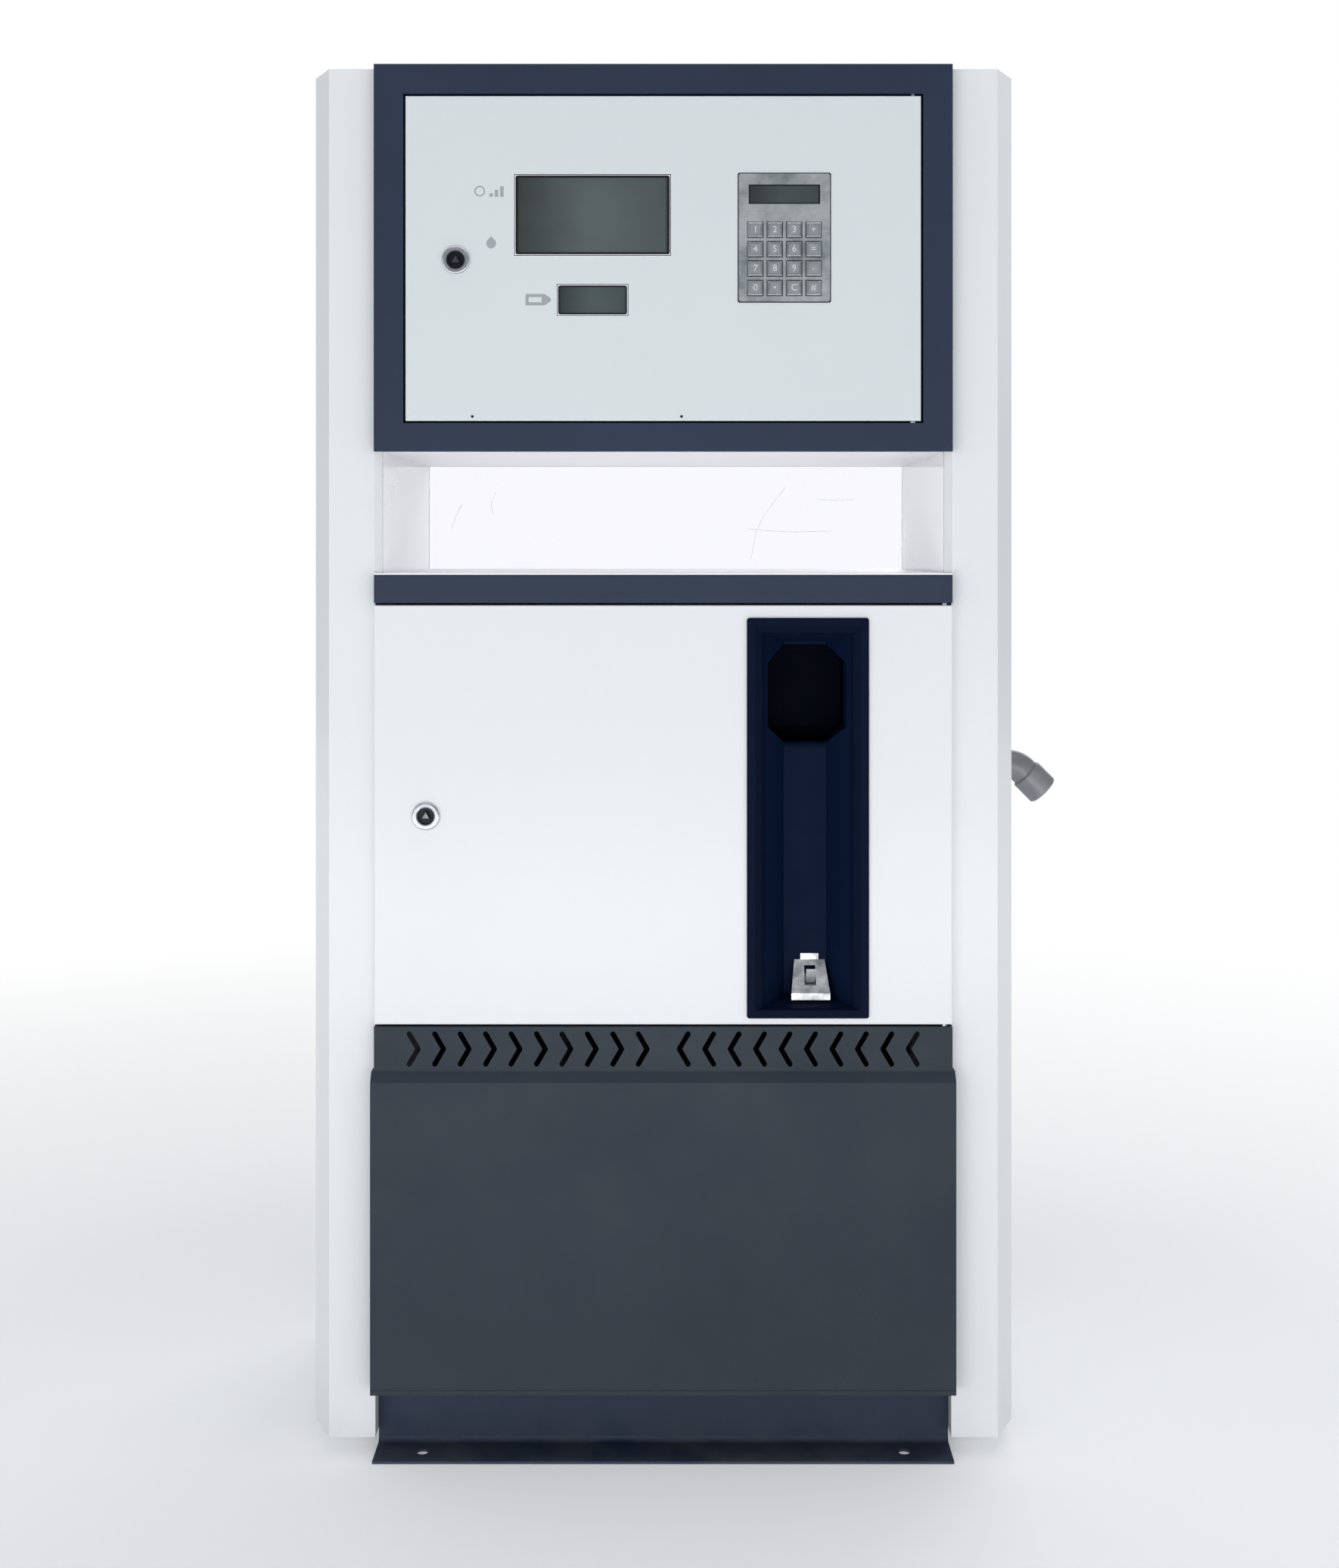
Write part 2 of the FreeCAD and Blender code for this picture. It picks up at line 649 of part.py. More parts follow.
def head_door():
    """Light grey door with windows for the displays and a cut-out for the keypad."""
    door = door_tray(HEAD_DOOR_HALF, HEAD_DOOR_Z0, HEAD_DOOR_Z1)
    y0 = FRONT - 1
    y1 = FRONT + SHEET + 1
    for x, z, width, height in display_places():
        door = door.cut(rounded_block(x, z, width, height, y0, y1, LCD_CORNER_R))
    width = PAD_W - 2 * PAD_LAP
    height = PAD_H - 2 * PAD_LAP
    door = door.cut(prism_xz(rectangle(PAD_X, PAD_Z, width, height), y0, y1))
    return door.cut(lock_hole(HEAD_LOCK_X, Z_HEAD + HEAD_LOCK_RISE))


def display_glass(x, z, width, height):
    """Display window sheet, clamped behind the door skin."""
    y0 = FRONT + SHEET
    return rounded_block(x, z, width + 2 * LCD_LAP, height + 2 * LCD_LAP, y0, y0 + LCD_GLASS_T,
                         LCD_CORNER_R)


def display_board(x, z, width, height):
    """Display module, its circuit board and four pillars that stand on the door skin."""
    board_y = FRONT + DOOR_RETURN
    plate = prism_xz(rectangle(x, z, width + 2 * BOARD_LAP, height + 2 * BOARD_LAP),
                     board_y, board_y + BOARD_T)
    glass_back = FRONT + SHEET + LCD_GLASS_T
    module = prism_xz(rectangle(x, z, width, height), glass_back, board_y)
    pillars = []
    step = BOARD_LAP - 2 * PAD_STUD_R
    for side_x in (-1, 1):
        for side_z in (-1, 1):
            px = x + side_x * (width / 2 + step)
            pz = z + side_z * (height / 2 + step)
            pillars.append(rod(2 * PAD_STUD_R, board_y - FRONT - SHEET, px, FRONT + SHEET, pz, Y_AXIS))
    return join(plate, module, *pillars)


# ---------------------------------------------------------------- keypad
PAD_BOARD_Y = FRONT + MOVE_GAP + KEY_FLANGE_T + KEY_TRAVEL + MOVE_GAP


def key_places():
    """Centres of the keys, row by row from the top left."""
    middle = (KEY_N - 1) / 2
    return [(PAD_X + (col - middle) * KEY_PITCH, PAD_Z - KEYS_DROP - (row - middle) * KEY_PITCH)
            for row in range(KEY_N) for col in range(KEY_N)]


def keypad_bezel():
    """Stainless plate with a display window, square key holes and four studs for the board."""
    plate = rounded_block(PAD_X, PAD_Z, PAD_W, PAD_H, FRONT - PAD_T, FRONT, LCD_CORNER_R)
    cuts = [prism_xz(rectangle(PAD_X, PAD_Z + PAD_LCD_RISE, PAD_LCD_W, PAD_LCD_H), FRONT - CUT, FRONT + 1)]
    hole = KEY_W + 2 * MOVE_GAP
    for x, z in key_places():
        cuts.append(prism_xz(rectangle(x, z, hole, hole), FRONT - CUT, FRONT + 1))
    plate = plate.cut(cuts)
    studs = []
    for side_x in (-1, 1):
        for side_z in (-1, 1):
            px = PAD_X + side_x * (PAD_W / 2 - PAD_STUD_IN)
            pz = PAD_Z + side_z * (PAD_H / 2 - PAD_STUD_IN)
            studs.append(rod(PAD_STUD_R, PAD_BOARD_Y - FRONT, px, FRONT, pz, Y_AXIS))
    return join(plate, *studs)


def key(x, z):
    """Bevelled metal key with a flange that stops behind the keypad plate."""
    front = FRONT - PAD_T - KEY_PROUD
    back = FRONT + MOVE_GAP
    cap = prism_xz(rectangle(x, z, KEY_W, KEY_W), front, back)
    rim = [e for e in cap.Edges if abs(e.CenterOfMass.y - front) < 0.01]
    cap = cap.makeChamfer(KEY_BEVEL, rim)
    flange = prism_xz(rectangle(x, z, KEY_FLANGE, KEY_FLANGE), back, back + KEY_FLANGE_T)
    return join(cap, flange)


def keypad_display():
    """Small display block between the keypad plate and its board."""
    lap = LCD_LAP / 2
    return prism_xz(rectangle(PAD_X, PAD_Z + PAD_LCD_RISE, PAD_LCD_W + 2 * lap, PAD_LCD_H + 2 * lap),
                    FRONT, PAD_BOARD_Y)


def keypad_board():
    """Circuit board on the keypad plate's studs."""
    size = rectangle(PAD_X, PAD_Z, PAD_W - 2 * PAD_LAP - 2 * MOVE_GAP, PAD_H - 2 * PAD_LAP - 2 * MOVE_GAP)
    return prism_xz(size, PAD_BOARD_Y, PAD_BOARD_Y + BOARD_T)


# ---------------------------------------------------------------- cam locks
def lock_body(x, z):
    """Chromed lock case: ring on the door's face, barrel through it, cup for the core."""
    face = FRONT - LOCK_RING_T
    ring = rod(LOCK_RING_R, LOCK_RING_T, x, face, z, Y_AXIS)
    rim = [e for e in ring.Edges if abs(e.CenterOfMass.y - face) < 0.01]
    ring = ring.makeFillet(LOCK_RING_T / 2, rim)
    case = join(ring, rod(LOCK_BARREL_R, LOCK_BARREL_L, x, FRONT, z, Y_AXIS))
    case = case.cut(rod(LOCK_CUP_R, LOCK_CUP_DEEP, x, face, z, Y_AXIS))
    return case.cut(rod(LOCK_SHAFT_R + RUN_FIT, LOCK_BARREL_L, x, FRONT + SHEET, z, Y_AXIS))


def lock_core(x, z):
    """Turning core: disc with a triangular key stud, shaft, and the cam that catches the strike."""
    disc_back = FRONT - LOCK_RING_T + LOCK_CUP_DEEP - MOVE_GAP
    disc_front = disc_back - LOCK_DISC_T
    disc = rod(LOCK_CUP_R - MOVE_GAP, LOCK_DISC_T, x, disc_front, z, Y_AXIS)
    cam_y = FRONT + LOCK_BARREL_L + CAM_SET
    shaft = rod(LOCK_SHAFT_R, cam_y - disc_front, x, disc_front, z, Y_AXIS)
    reach = LOCK_STUD_SIDE / math.sqrt(3)
    corners = []
    for k in range(3):
        turn = math.radians(90 + 120 * k)
        corners.append((x + reach * math.cos(turn), z + reach * math.sin(turn)))
    stud = prism_xz(corners, disc_front - LOCK_STUD_H, disc_front)
    cam = box(x - CAM_W / 2, x + CAM_W / 2, cam_y, cam_y + CAM_T, z - CAM_W / 2, z + CAM_L)
    return join(disc, shaft, stud, cam)


# ---------------------------------------------------------------- cabinet door and nozzle boot
def cabinet_door():
    """White door with the cut-out for the nozzle boot."""
    door = door_tray(CABINET_DOOR_HALF, Z_DOOR, CABINET_DOOR_Z1)
    width = BOOT_W - 2 * BOOT_LAP
    height = BOOT_H - 2 * BOOT_LAP
    hole = prism_xz(rectangle(BOOT_X, (BOOT_Z0 + BOOT_Z1) / 2, width, height), FRONT - 1, FRONT + SHEET + 1)
    return door.cut(hole).cut(lock_hole(CABINET_LOCK_X, Z_DOOR + CABINET_LOCK_RISE))


def upright(width, z0, z1):
    """Upright rectangle about the boot's middle line."""
    return rectangle(BOOT_X, (z0 + z1) / 2, width, z1 - z0)


def funnel(front_outline, front_y, back_outline, back_y):
    """Straight-sided solid between two outlines."""
    return Part.makeLoft([wire_xz(front_outline, front_y), wire_xz(back_outline, back_y)], True, True)


def octagon(width, z0, z1, cut):
    """Rectangle with its four corners cut off."""
    x0 = BOOT_X - width / 2
    x1 = BOOT_X + width / 2
    return [(x0 + cut, z0), (x1 - cut, z0), (x1, z0 + cut), (x1, z1 - cut),
            (x1 - cut, z1), (x0 + cut, z1), (x0, z1 - cut), (x0, z0 + cut)]


def nozzle_boot():
    """Moulded boot: proud rim, sloping channel and a deep eight-sided pocket at the top."""
    lip = FRONT - BOOT_RIM_T
    wall = BOOT_WALL
    foot = BOOT_BEVEL / 4
    rim = rounded_block(BOOT_X, (BOOT_Z0 + BOOT_Z1) / 2, BOOT_W, BOOT_H, lip, FRONT, BOOT_WALL)
    edge = [e for e in rim.Edges if abs(e.CenterOfMass.y - lip) < 0.01]
    rim = rim.makeFillet(BOOT_RIM_T / 2, edge)
    mouth_w = BOOT_W - 2 * BOOT_RIM
    mouth_z0 = BOOT_Z0 + BOOT_RIM
    mouth_z1 = BOOT_Z1 - BOOT_RIM
    throat_w = mouth_w - 2 * BOOT_BEVEL
    throat_z0 = mouth_z0 + foot
    throat_z1 = mouth_z1 - BOOT_BEVEL
    throat_y = lip + BOOT_BEVEL_DEEP
    floor_z0 = throat_z0 + foot
    floor_z1 = throat_z1 - CHANNEL_END
    shell_w = BOOT_W - 2 * BOOT_LAP - 2 * MOVE_GAP
    shell_z0 = BOOT_Z0 + BOOT_LAP + MOVE_GAP
    shell_z1 = BOOT_Z1 - BOOT_LAP - MOVE_GAP
    shell = funnel(upright(shell_w, shell_z0, shell_z1), FRONT,
                   upright(CHANNEL_W + 2 * wall, floor_z0 - wall, floor_z1 + wall), CHANNEL_Y + wall)
    pocket_z0 = BOOT_Z0 + POCKET_RISE
    pocket_z1 = pocket_z0 + POCKET_H
    pocket_y = FRONT + POCKET_DEEP
    shell_pocket = prism_xz(octagon(POCKET_W + 2 * wall, pocket_z0 - wall, pocket_z1 + wall, POCKET_CUT),
                            FRONT, pocket_y + wall)
    body = join(rim, shell, shell_pocket)
    mouth = funnel(upright(mouth_w, mouth_z0, mouth_z1), lip,
                   upright(throat_w, throat_z0, throat_z1), throat_y)
    channel = funnel(upright(throat_w, throat_z0, throat_z1), throat_y,
                     upright(CHANNEL_W, floor_z0, floor_z1), CHANNEL_Y)
    pocket = prism_xz(octagon(POCKET_W, pocket_z0, pocket_z1, POCKET_CUT), throat_y, pocket_y)
    boot = body.cut([mouth, channel, pocket])
    shoulder = edges_along(boot, X_AXIS, lambda p: abs(p.y - CHANNEL_Y) < 0.1 and abs(p.z - pocket_z0) < 0.1)
    return boot.makeFillet(SHOULDER_R, shoulder)


def lever_pivot():
    """Point on the boot lever's axis."""
    return CHANNEL_Y - LEVER_BACK, BOOT_Z0 + HOOK_RISE + LEVER_RISE


def nozzle_hook():
    """Bent stainless bracket that the nozzle's spout rests on, slotted for the boot lever."""
    t = HOOK_SHEET
    z0 = BOOT_Z0 + HOOK_RISE
    z1 = z0 + HOOK_LIP_H
    z2 = z1 + HOOK_PLATE_H
    z3 = z2 + HOOK_TAB_H
    front = CHANNEL_Y - HOOK_REACH
    dip = t * (math.hypot(HOOK_PLATE_H, HOOK_REACH - t) - HOOK_PLATE_H) / (HOOK_REACH - t)
    strip = prism_yz([(CHANNEL_Y, z3), (CHANNEL_Y - t, z3), (CHANNEL_Y - t, z2), (front, z1), (front, z0),
                      (front + t, z0), (front + t, z1 - dip), (CHANNEL_Y, z2 - dip)],
                     HOOK_X - HOOK_LIP_W / 2, HOOK_X + HOOK_LIP_W / 2)
    half = [(HOOK_LIP_W / 2, z0), (HOOK_LIP_W / 2, z1), (HOOK_TOP_W / 2, z2), (HOOK_TAB_W / 2, z2),
            (HOOK_TAB_W / 2, z3)]
    outline = [(HOOK_X + x, z) for x, z in half] + [(HOOK_X - x, z) for x, z in reversed(half)]
    strip = strip.common(prism_xz(outline, front - 1, CHANNEL_Y))
    slot_z0 = z1 + 4 * t
    slot = prism_xz(rectangle(HOOK_X, (slot_z0 + z2 - 3 * t) / 2, HOOK_SLOT_W, z2 - 3 * t - slot_z0),
                    front - 1, CHANNEL_Y - t)
    hook = strip.cut(slot)
    gussets = []
    for side in (-1, 1):
        x0, x1 = sorted((HOOK_X + side * (HOOK_TOP_W / 2 - t), HOOK_X + side * HOOK_TOP_W / 2))
        gussets.append(prism_yz([(CHANNEL_Y, z0), (CHANNEL_Y, z2 - dip), (front + t, z1 - dip),
                                 (front + t, z0)], x0, x1))
    y, z = lever_pivot()
    pin = rod(LEVER_PIN_R, HOOK_TOP_W, HOOK_X - HOOK_TOP_W / 2, y, z, X_AXIS)
    return join(hook, pin, *gussets)


def switch_lever():
    """Sprung tongue that a stowed nozzle pushes back through the bracket's slot."""
    y, z = lever_pivot()
    x0 = HOOK_X - LEVER_W / 2
    blade = box(x0, x0 + LEVER_W, y - LEVER_T / 2, y + LEVER_T / 2, z, z + LEVER_L)
    blade.rotate(FreeCAD.Vector(HOOK_X, y, z), X_AXIS, LEVER_LEAN)
    lever = join(blade, rod(LEVER_BOSS_R, LEVER_W, x0, y, z, X_AXIS))
    return lever.cut(rod(LEVER_PIN_R + RUN_FIT, LEVER_W, x0, y, z, X_AXIS))


def switch_housing():
    """Sealed switch on the back of the boot, behind the lever."""
    z0 = BOOT_Z0 + 2 * HOOK_RISE
    y0 = CHANNEL_Y + BOOT_WALL
    return rounded_block(BOOT_X, z0 + SWITCH_H / 2, SWITCH_W, SWITCH_H, y0, y0 + SWITCH_T, BOOT_WALL)


# ---------------------------------------------------------------- pump, motor, belt
PUMP_Z0 = POST_BOTTOM + PUMP_FOOT_H
PUMP_SHAFT_Z = PUMP_Z0 + PUMP_SHAFT_RISE
MOTOR_Z = POST_BOTTOM + MOTOR_PLATE_T + MOTOR_R + SHEET
WHEEL_W = BELT_W + BELT_SPARE + 2 * PULLEY_CHEEK
WHEEL_Y = MACHINE_FRONT - PULLEY_GAP - WHEEL_W


def shaft_bore(x, z):
    """Running bore for a pulley shaft in a machine's front."""
    return rod(SHAFT_R + RUN_FIT, SHAFT_GRIP + 1, x, MACHINE_FRONT - 1, z, Y_AXIS)


def pump_unit():
    """Cast pump with its air separator, on two feet across the bearers."""
    x0 = PUMP_X - PUMP_W / 2
    x1 = PUMP_X + PUMP_W / 2
    y0 = MACHINE_FRONT + PUMP_COVER_T
    top = PUMP_Z0 + PUMP_H
    block = box(x0, x1, y0, MACHINE_FRONT + PUMP_L, PUMP_Z0, top)
    block = block.makeFillet(PUMP_COVER_T, edges_along(block, Z_AXIS, lambda p: True))
    cover = rod(PUMP_COVER_R, PUMP_COVER_T, PUMP_X, MACHINE_FRONT, PUMP_SHAFT_Z, Y_AXIS)
    outlet = rod(PORT_R, PUMP_COVER_T, PUMP_X, 0, top, Z_AXIS)
    dome = rod(DOME_R, 2 * PUMP_COVER_T, x0 + PUMP_W / 4, MACHINE_FRONT + DOME_SET, top, Z_AXIS)
    strainer = rod(2 * PIPE_R, PUMP_COVER_T, x0 - PUMP_COVER_T, 0, PUMP_Z0 + PUMP_H / 4, X_AXIS)
    feet = []
    for side in (-1, 1):
        y = side * BEARER_Y
        feet.append(box(x0, x1, y - BEARER_W / 2, y + BEARER_W / 2, POST_BOTTOM, PUMP_Z0))
    pump = join(block, cover, outlet, dome, strainer, *feet)
    return pump.cut(shaft_bore(PUMP_X, PUMP_SHAFT_Z))


def motor():
    """Finned electric motor with its terminal box, on a plate across the bearers."""
    reach = BEARER_Y + BEARER_W / 2
    half = MOTOR_PLATE_W / 2
    plate = box(MOTOR_X - half, MOTOR_X + half, -reach, reach, POST_BOTTOM, POST_BOTTOM + MOTOR_PLATE_T)
    barrel = rod(MOTOR_R, MOTOR_L, MOTOR_X, MACHINE_FRONT, MOTOR_Z, Y_AXIS)
    saddle = box(MOTOR_X - half / 2, MOTOR_X + half / 2, MACHINE_FRONT + SHAFT_GRIP,
                 MACHINE_FRONT + MOTOR_L - SHAFT_GRIP, POST_BOTTOM, MOTOR_Z)
    terminals = box(MOTOR_X - half / 2, MOTOR_X + half / 2, MACHINE_FRONT + 2 * SHAFT_GRIP,
                    MACHINE_FRONT + 3 * SHAFT_GRIP, MOTOR_Z, MOTOR_Z + MOTOR_R + SHAFT_GRIP / 2)
    frame = join(plate, barrel, saddle, terminals)
    return frame.cut(shaft_bore(MOTOR_X, MOTOR_Z))


def pulley(radius, x, z):
    """Grooved belt wheel on its shaft."""
    wheel = rod(radius + GROOVE_DEEP, WHEEL_W, x, WHEEL_Y, z, Y_AXIS)
    groove_y = WHEEL_Y + PULLEY_CHEEK
    groove_w = WHEEL_W - 2 * PULLEY_CHEEK
    groove = rod(radius + 2 * GROOVE_DEEP, groove_w, x, groove_y, z, Y_AXIS)
    groove = groove.cut(rod(radius, groove_w, x, groove_y, z, Y_AXIS))
    shaft = rod(SHAFT_R, MACHINE_FRONT + SHAFT_GRIP - MOVE_GAP - WHEEL_Y, x, WHEEL_Y, z, Y_AXIS)
    return join(wheel.cut(groove), shaft)


def belt_outline(grow):
    """Loop around both pulleys, a given distance off their grooves."""
    r1 = PUMP_PULLEY_R + grow
    r2 = MOTOR_PULLEY_R + grow
    dx = MOTOR_X - PUMP_X
    dz = MOTOR_Z - PUMP_SHAFT_Z
    lean = math.atan2(dz, dx)
    open_angle = math.acos((r1 - r2) / math.hypot(dx, dz))
    y = WHEEL_Y + (WHEEL_W - BELT_W) / 2

    def on(cx, cz, radius, angle):
        return FreeCAD.Vector(cx + radius * math.cos(angle), y, cz + radius * math.sin(angle))

    up1 = on(PUMP_X, PUMP_SHAFT_Z, r1, lean + open_angle)
    far1 = on(PUMP_X, PUMP_SHAFT_Z, r1, lean + math.pi)
    low1 = on(PUMP_X, PUMP_SHAFT_Z, r1, lean - open_angle)
    up2 = on(MOTOR_X, MOTOR_Z, r2, lean + open_angle)
    far2 = on(MOTOR_X, MOTOR_Z, r2, lean)
    low2 = on(MOTOR_X, MOTOR_Z, r2, lean - open_angle)
    edges = [Part.LineSegment(up2, up1).toShape(), Part.Arc(up1, far1, low1).toShape(),
             Part.LineSegment(low1, low2).toShape(), Part.Arc(low2, far2, up2).toShape()]
    return Part.Face(Part.Wire(edges)).extrude(FreeCAD.Vector(0, BELT_W, 0))


def drive_belt():
    """Endless belt in the pulleys' grooves."""
    return belt_outline(MOVE_GAP + BELT_T).cut(belt_outline(MOVE_GAP))


# ---------------------------------------------------------------- hydraulics
METER_Z0 = OUTLET_Z - METER_BELOW


def tube(radius, bore, length, x, y, z, axis):
    """Straight pipe."""
    return rod(radius, length, x, y, z, axis).cut(rod(bore, length, x, y, z, axis))


def suction_pipe():
    """Inlet stub under the pump, with the flange for the tank line."""
    height = PUMP_Z0 - SUCTION_CLEAR
    stub = rod(SUCTION_R, height, PUMP_X, 0, SUCTION_CLEAR, Z_AXIS)
    flange = rod(SUCTION_FLANGE_R, SUCTION_FLANGE_T, PUMP_X, 0, SUCTION_CLEAR, Z_AXIS)
    stub = join(stub, flange).cut(rod(SUCTION_BORE_R, height, PUMP_X, 0, SUCTION_CLEAR, Z_AXIS))
    for k in range(4):
        turn = math.radians(45 + 90 * k)
        x = PUMP_X + SUCTION_PCD / 2 * math.cos(turn)
        y = SUCTION_PCD / 2 * math.sin(turn)
        stub = stub.cut(rod(SUCTION_HOLE_R, SUCTION_FLANGE_T + 2, x, y, SUCTION_CLEAR - 1, Z_AXIS))
    return stub


def flow_meter():
    """Piston meter with its side outlet, and the pulser on top."""
    body = rod(METER_R, METER_H, PUMP_X, 0, METER_Z0, Z_AXIS)
    body = body.makeFillet(METER_R / 8, [e for e in body.Edges if e.Curve.TypeId == "Part::GeomCircle"])
    boss = rod(PORT_R, METER_R + PIPE_R / 2, PUMP_X, 0, OUTLET_Z, X_AXIS)
    pulser = rod(PULSER_R, PULSER_H, PUMP_X, 0, METER_Z0 + METER_H, Z_AXIS)
    return join(body, boss, pulser)


def solenoid_valve():
    """Two-stage valve block with its coil."""
    half = VALVE_W / 2
    block = box(VALVE_X, VALVE_X + VALVE_L, -half, half, OUTLET_Z - half, OUTLET_Z + half)
    return join(block, rod(COIL_R, COIL_H, VALVE_X + VALVE_L / 2, 0, OUTLET_Z + half, Z_AXIS))


def delivery_pipes():
    """Riser from pump to meter, and the two runs from the meter through the valve to the post."""
    pump_top = PUMP_Z0 + PUMP_H + PUMP_COVER_T
    riser = tube(PIPE_R, PIPE_BORE_R, METER_Z0 - pump_top, PUMP_X, 0, pump_top, Z_AXIS)
    meter_out = PUMP_X + METER_R + PIPE_R / 2
    to_valve = tube(PIPE_R, PIPE_BORE_R, VALVE_X - meter_out, meter_out, 0, OUTLET_Z, X_AXIS)
    valve_out = VALVE_X + VALVE_L
    to_post = tube(PIPE_R, PIPE_BORE_R, POST_OUT - valve_out, valve_out, 0, OUTLET_Z, X_AXIS)
    return riser, to_valve, to_post


# ---------------------------------------------------------------- hose outlet
SLANT = FreeCAD.Vector(math.sqrt(0.5), 0, -math.sqrt(0.5))
BEND_RUN = OUTLET_BEND_R * math.tan(math.radians(22.5))


def slanted_rod(radius, start, length):
    """Cylinder along the hose outlet's slanted axis, starting so far from the bend's corner."""
    bend = FreeCAD.Vector(POST_OUT + OUTLET_REACH, 0, OUTLET_Z)
    return Part.makeCylinder(radius, length, bend + SLANT * start, SLANT)


def elbow_run(radius, length):
    """Solid along the elbow: level run, swept bend and slanted run."""
    bend_x = POST_OUT + OUTLET_REACH - BEND_RUN
    level = rod(radius, OUTLET_REACH - BEND_RUN, POST_OUT, 0, OUTLET_Z, X_AXIS)
    ring = Part.makeCircle(radius, FreeCAD.Vector(bend_x, 0, OUTLET_Z), X_AXIS)
    pivot = FreeCAD.Vector(bend_x, 0, OUTLET_Z - OUTLET_BEND_R)
    bend = Part.Face(Part.Wire(ring)).revolve(pivot, Y_AXIS, 45)
    return join(level, bend, slanted_rod(radius, BEND_RUN, length - BEND_RUN))


def outlet_elbow():
    """Cast elbow on the right post, ending in the spigot that the hose nut turns on."""
    flange = rod(OUTLET_FLANGE_R, OUTLET_FLANGE_T, POST_OUT, 0, OUTLET_Z, X_AXIS)
    spigot = slanted_rod(SPIGOT_R, OUTLET_NECK, SPIGOT_L)
    elbow = join(elbow_run(OUTLET_R, OUTLET_NECK), flange, spigot)
    return elbow.cut(elbow_run(OUTLET_BORE_R, OUTLET_NECK + SPIGOT_L))


def outlet_nut():
    """Swivel nut: turns on the elbow's spigot and takes the hose in its far end."""
    start = OUTLET_NECK + MOVE_GAP
    nut = slanted_rod(NUT_R, start, NUT_L)
    rims = [e for e in nut.Edges if e.Curve.TypeId == "Part::GeomCircle"]
    nut = nut.makeChamfer(SHEET, rims)
    nut = nut.cut(slanted_rod(SPIGOT_R + RUN_FIT, start, NUT_L))
    return nut.cut(slanted_rod(NUT_BORE_R, start + SPIGOT_L, NUT_L - SPIGOT_L))


# ---------------------------------------------------------------- inner boxes
def junction_box():
    """Flameproof terminal box on the right post, with its cable gland."""
    x0 = HALF - JUNCTION_W
    z0 = Z_DOOR + JUNCTION_RISE
    case = box(x0, HALF, JUNCTION_Y, JUNCTION_Y + JUNCTION_D, z0, z0 + JUNCTION_H)
    gland = rod(GLAND_R, GLAND_L, HALF - JUNCTION_W / 2, JUNCTION_Y + JUNCTION_D / 2, z0 - GLAND_L, Z_AXIS)
    return join(case, gland)


def control_box():
    """Case of the main board and power supply, on the floor of the head."""
    z0 = Z_HEAD + SHEET
    case = box(CONTROL_X, CONTROL_X + CONTROL_W, CONTROL_Y, CONTROL_Y + CONTROL_D, z0, z0 + CONTROL_H)
    return case.makeFillet(BOOT_WALL, edges_along(case, Z_AXIS, lambda p: True))


# ---------------------------------------------------------------- build
save("base_frame", base_frame())
right_post = corner_post()
hose_hole = rod(PIPE_R + PIPE_CLEAR, POST_W + STRIKE_W, HALF - STRIKE_W, 0, OUTLET_Z, X_AXIS)
save("left_post", mirror_x(right_post))
save("right_post", right_post.cut(hose_hole))
front_panel = lower_panel()
save("lower_panel_front", front_panel)
save("lower_panel_rear", half_turn(front_panel))
front_rail = cross_rail()
save("cross_rails", front_rail, half_turn(front_rail))
save("window_floor", window_floor())
save("window_sides", *window_sides())
save("window_faces", *window_faces())
save("head_floor", head_floor())
save("head_front_frame", head_front_frame())
save("head_cover", head_cover())
save("head_rear_cover", rear_plate(Z_HEAD, Z_TOP, HALF, head_cover_screws()))
save("rear_cabinet_cover", rear_plate(Z_DOOR - DOOR_GAP, Z_RAIL, HALF - SIDE_GAP, rear_cover_screws()))
save("panel_screws", *[panel_screw(x, z) for x, z in head_cover_screws() + rear_cover_screws()])

save("head_door", head_door())
glasses = [display_glass(*place) for place in display_places()]
save("main_display", glasses[0])
save("price_display", glasses[1])
save("display_boards", keypad_board(), *[display_board(*place) for place in display_places()])
save("keypad_bezel", keypad_bezel())
save("keypad_display", keypad_display())
for number, (x, z) in enumerate(key_places(), 1):
    save(f"key_{number:02d}", key(x, z))
save("head_lock_body", lock_body(HEAD_LOCK_X, Z_HEAD + HEAD_LOCK_RISE))
save("head_lock_core", lock_core(HEAD_LOCK_X, Z_HEAD + HEAD_LOCK_RISE))

save("cabinet_door", cabinet_door())
save("nozzle_boot", nozzle_boot())
save("nozzle_hook", nozzle_hook())
save("switch_lever", switch_lever())
save("switch_housing", switch_housing())
save("cabinet_lock_body", lock_body(CABINET_LOCK_X, Z_DOOR + CABINET_LOCK_RISE))
save("cabinet_lock_core", lock_core(CABINET_LOCK_X, Z_DOOR + CABINET_LOCK_RISE))
head_pin_x = HEAD_DOOR_HALF - HINGE_IN
cabinet_pin_x = CABINET_DOOR_HALF - HINGE_IN
save("hinge_pins", hinge_pin_up(head_pin_x, HEAD_DOOR_Z1, HEAD_DOOR_Z1 + DOOR_GAP),
     hinge_pin_down(head_pin_x, HEAD_DOOR_Z0, HEAD_DOOR_Z0 - DOOR_GAP),
     hinge_pin_up(cabinet_pin_x, CABINET_DOOR_Z1, Z_RAIL),
     hinge_pin_down(cabinet_pin_x, Z_DOOR, Z_DOOR - DOOR_GAP))

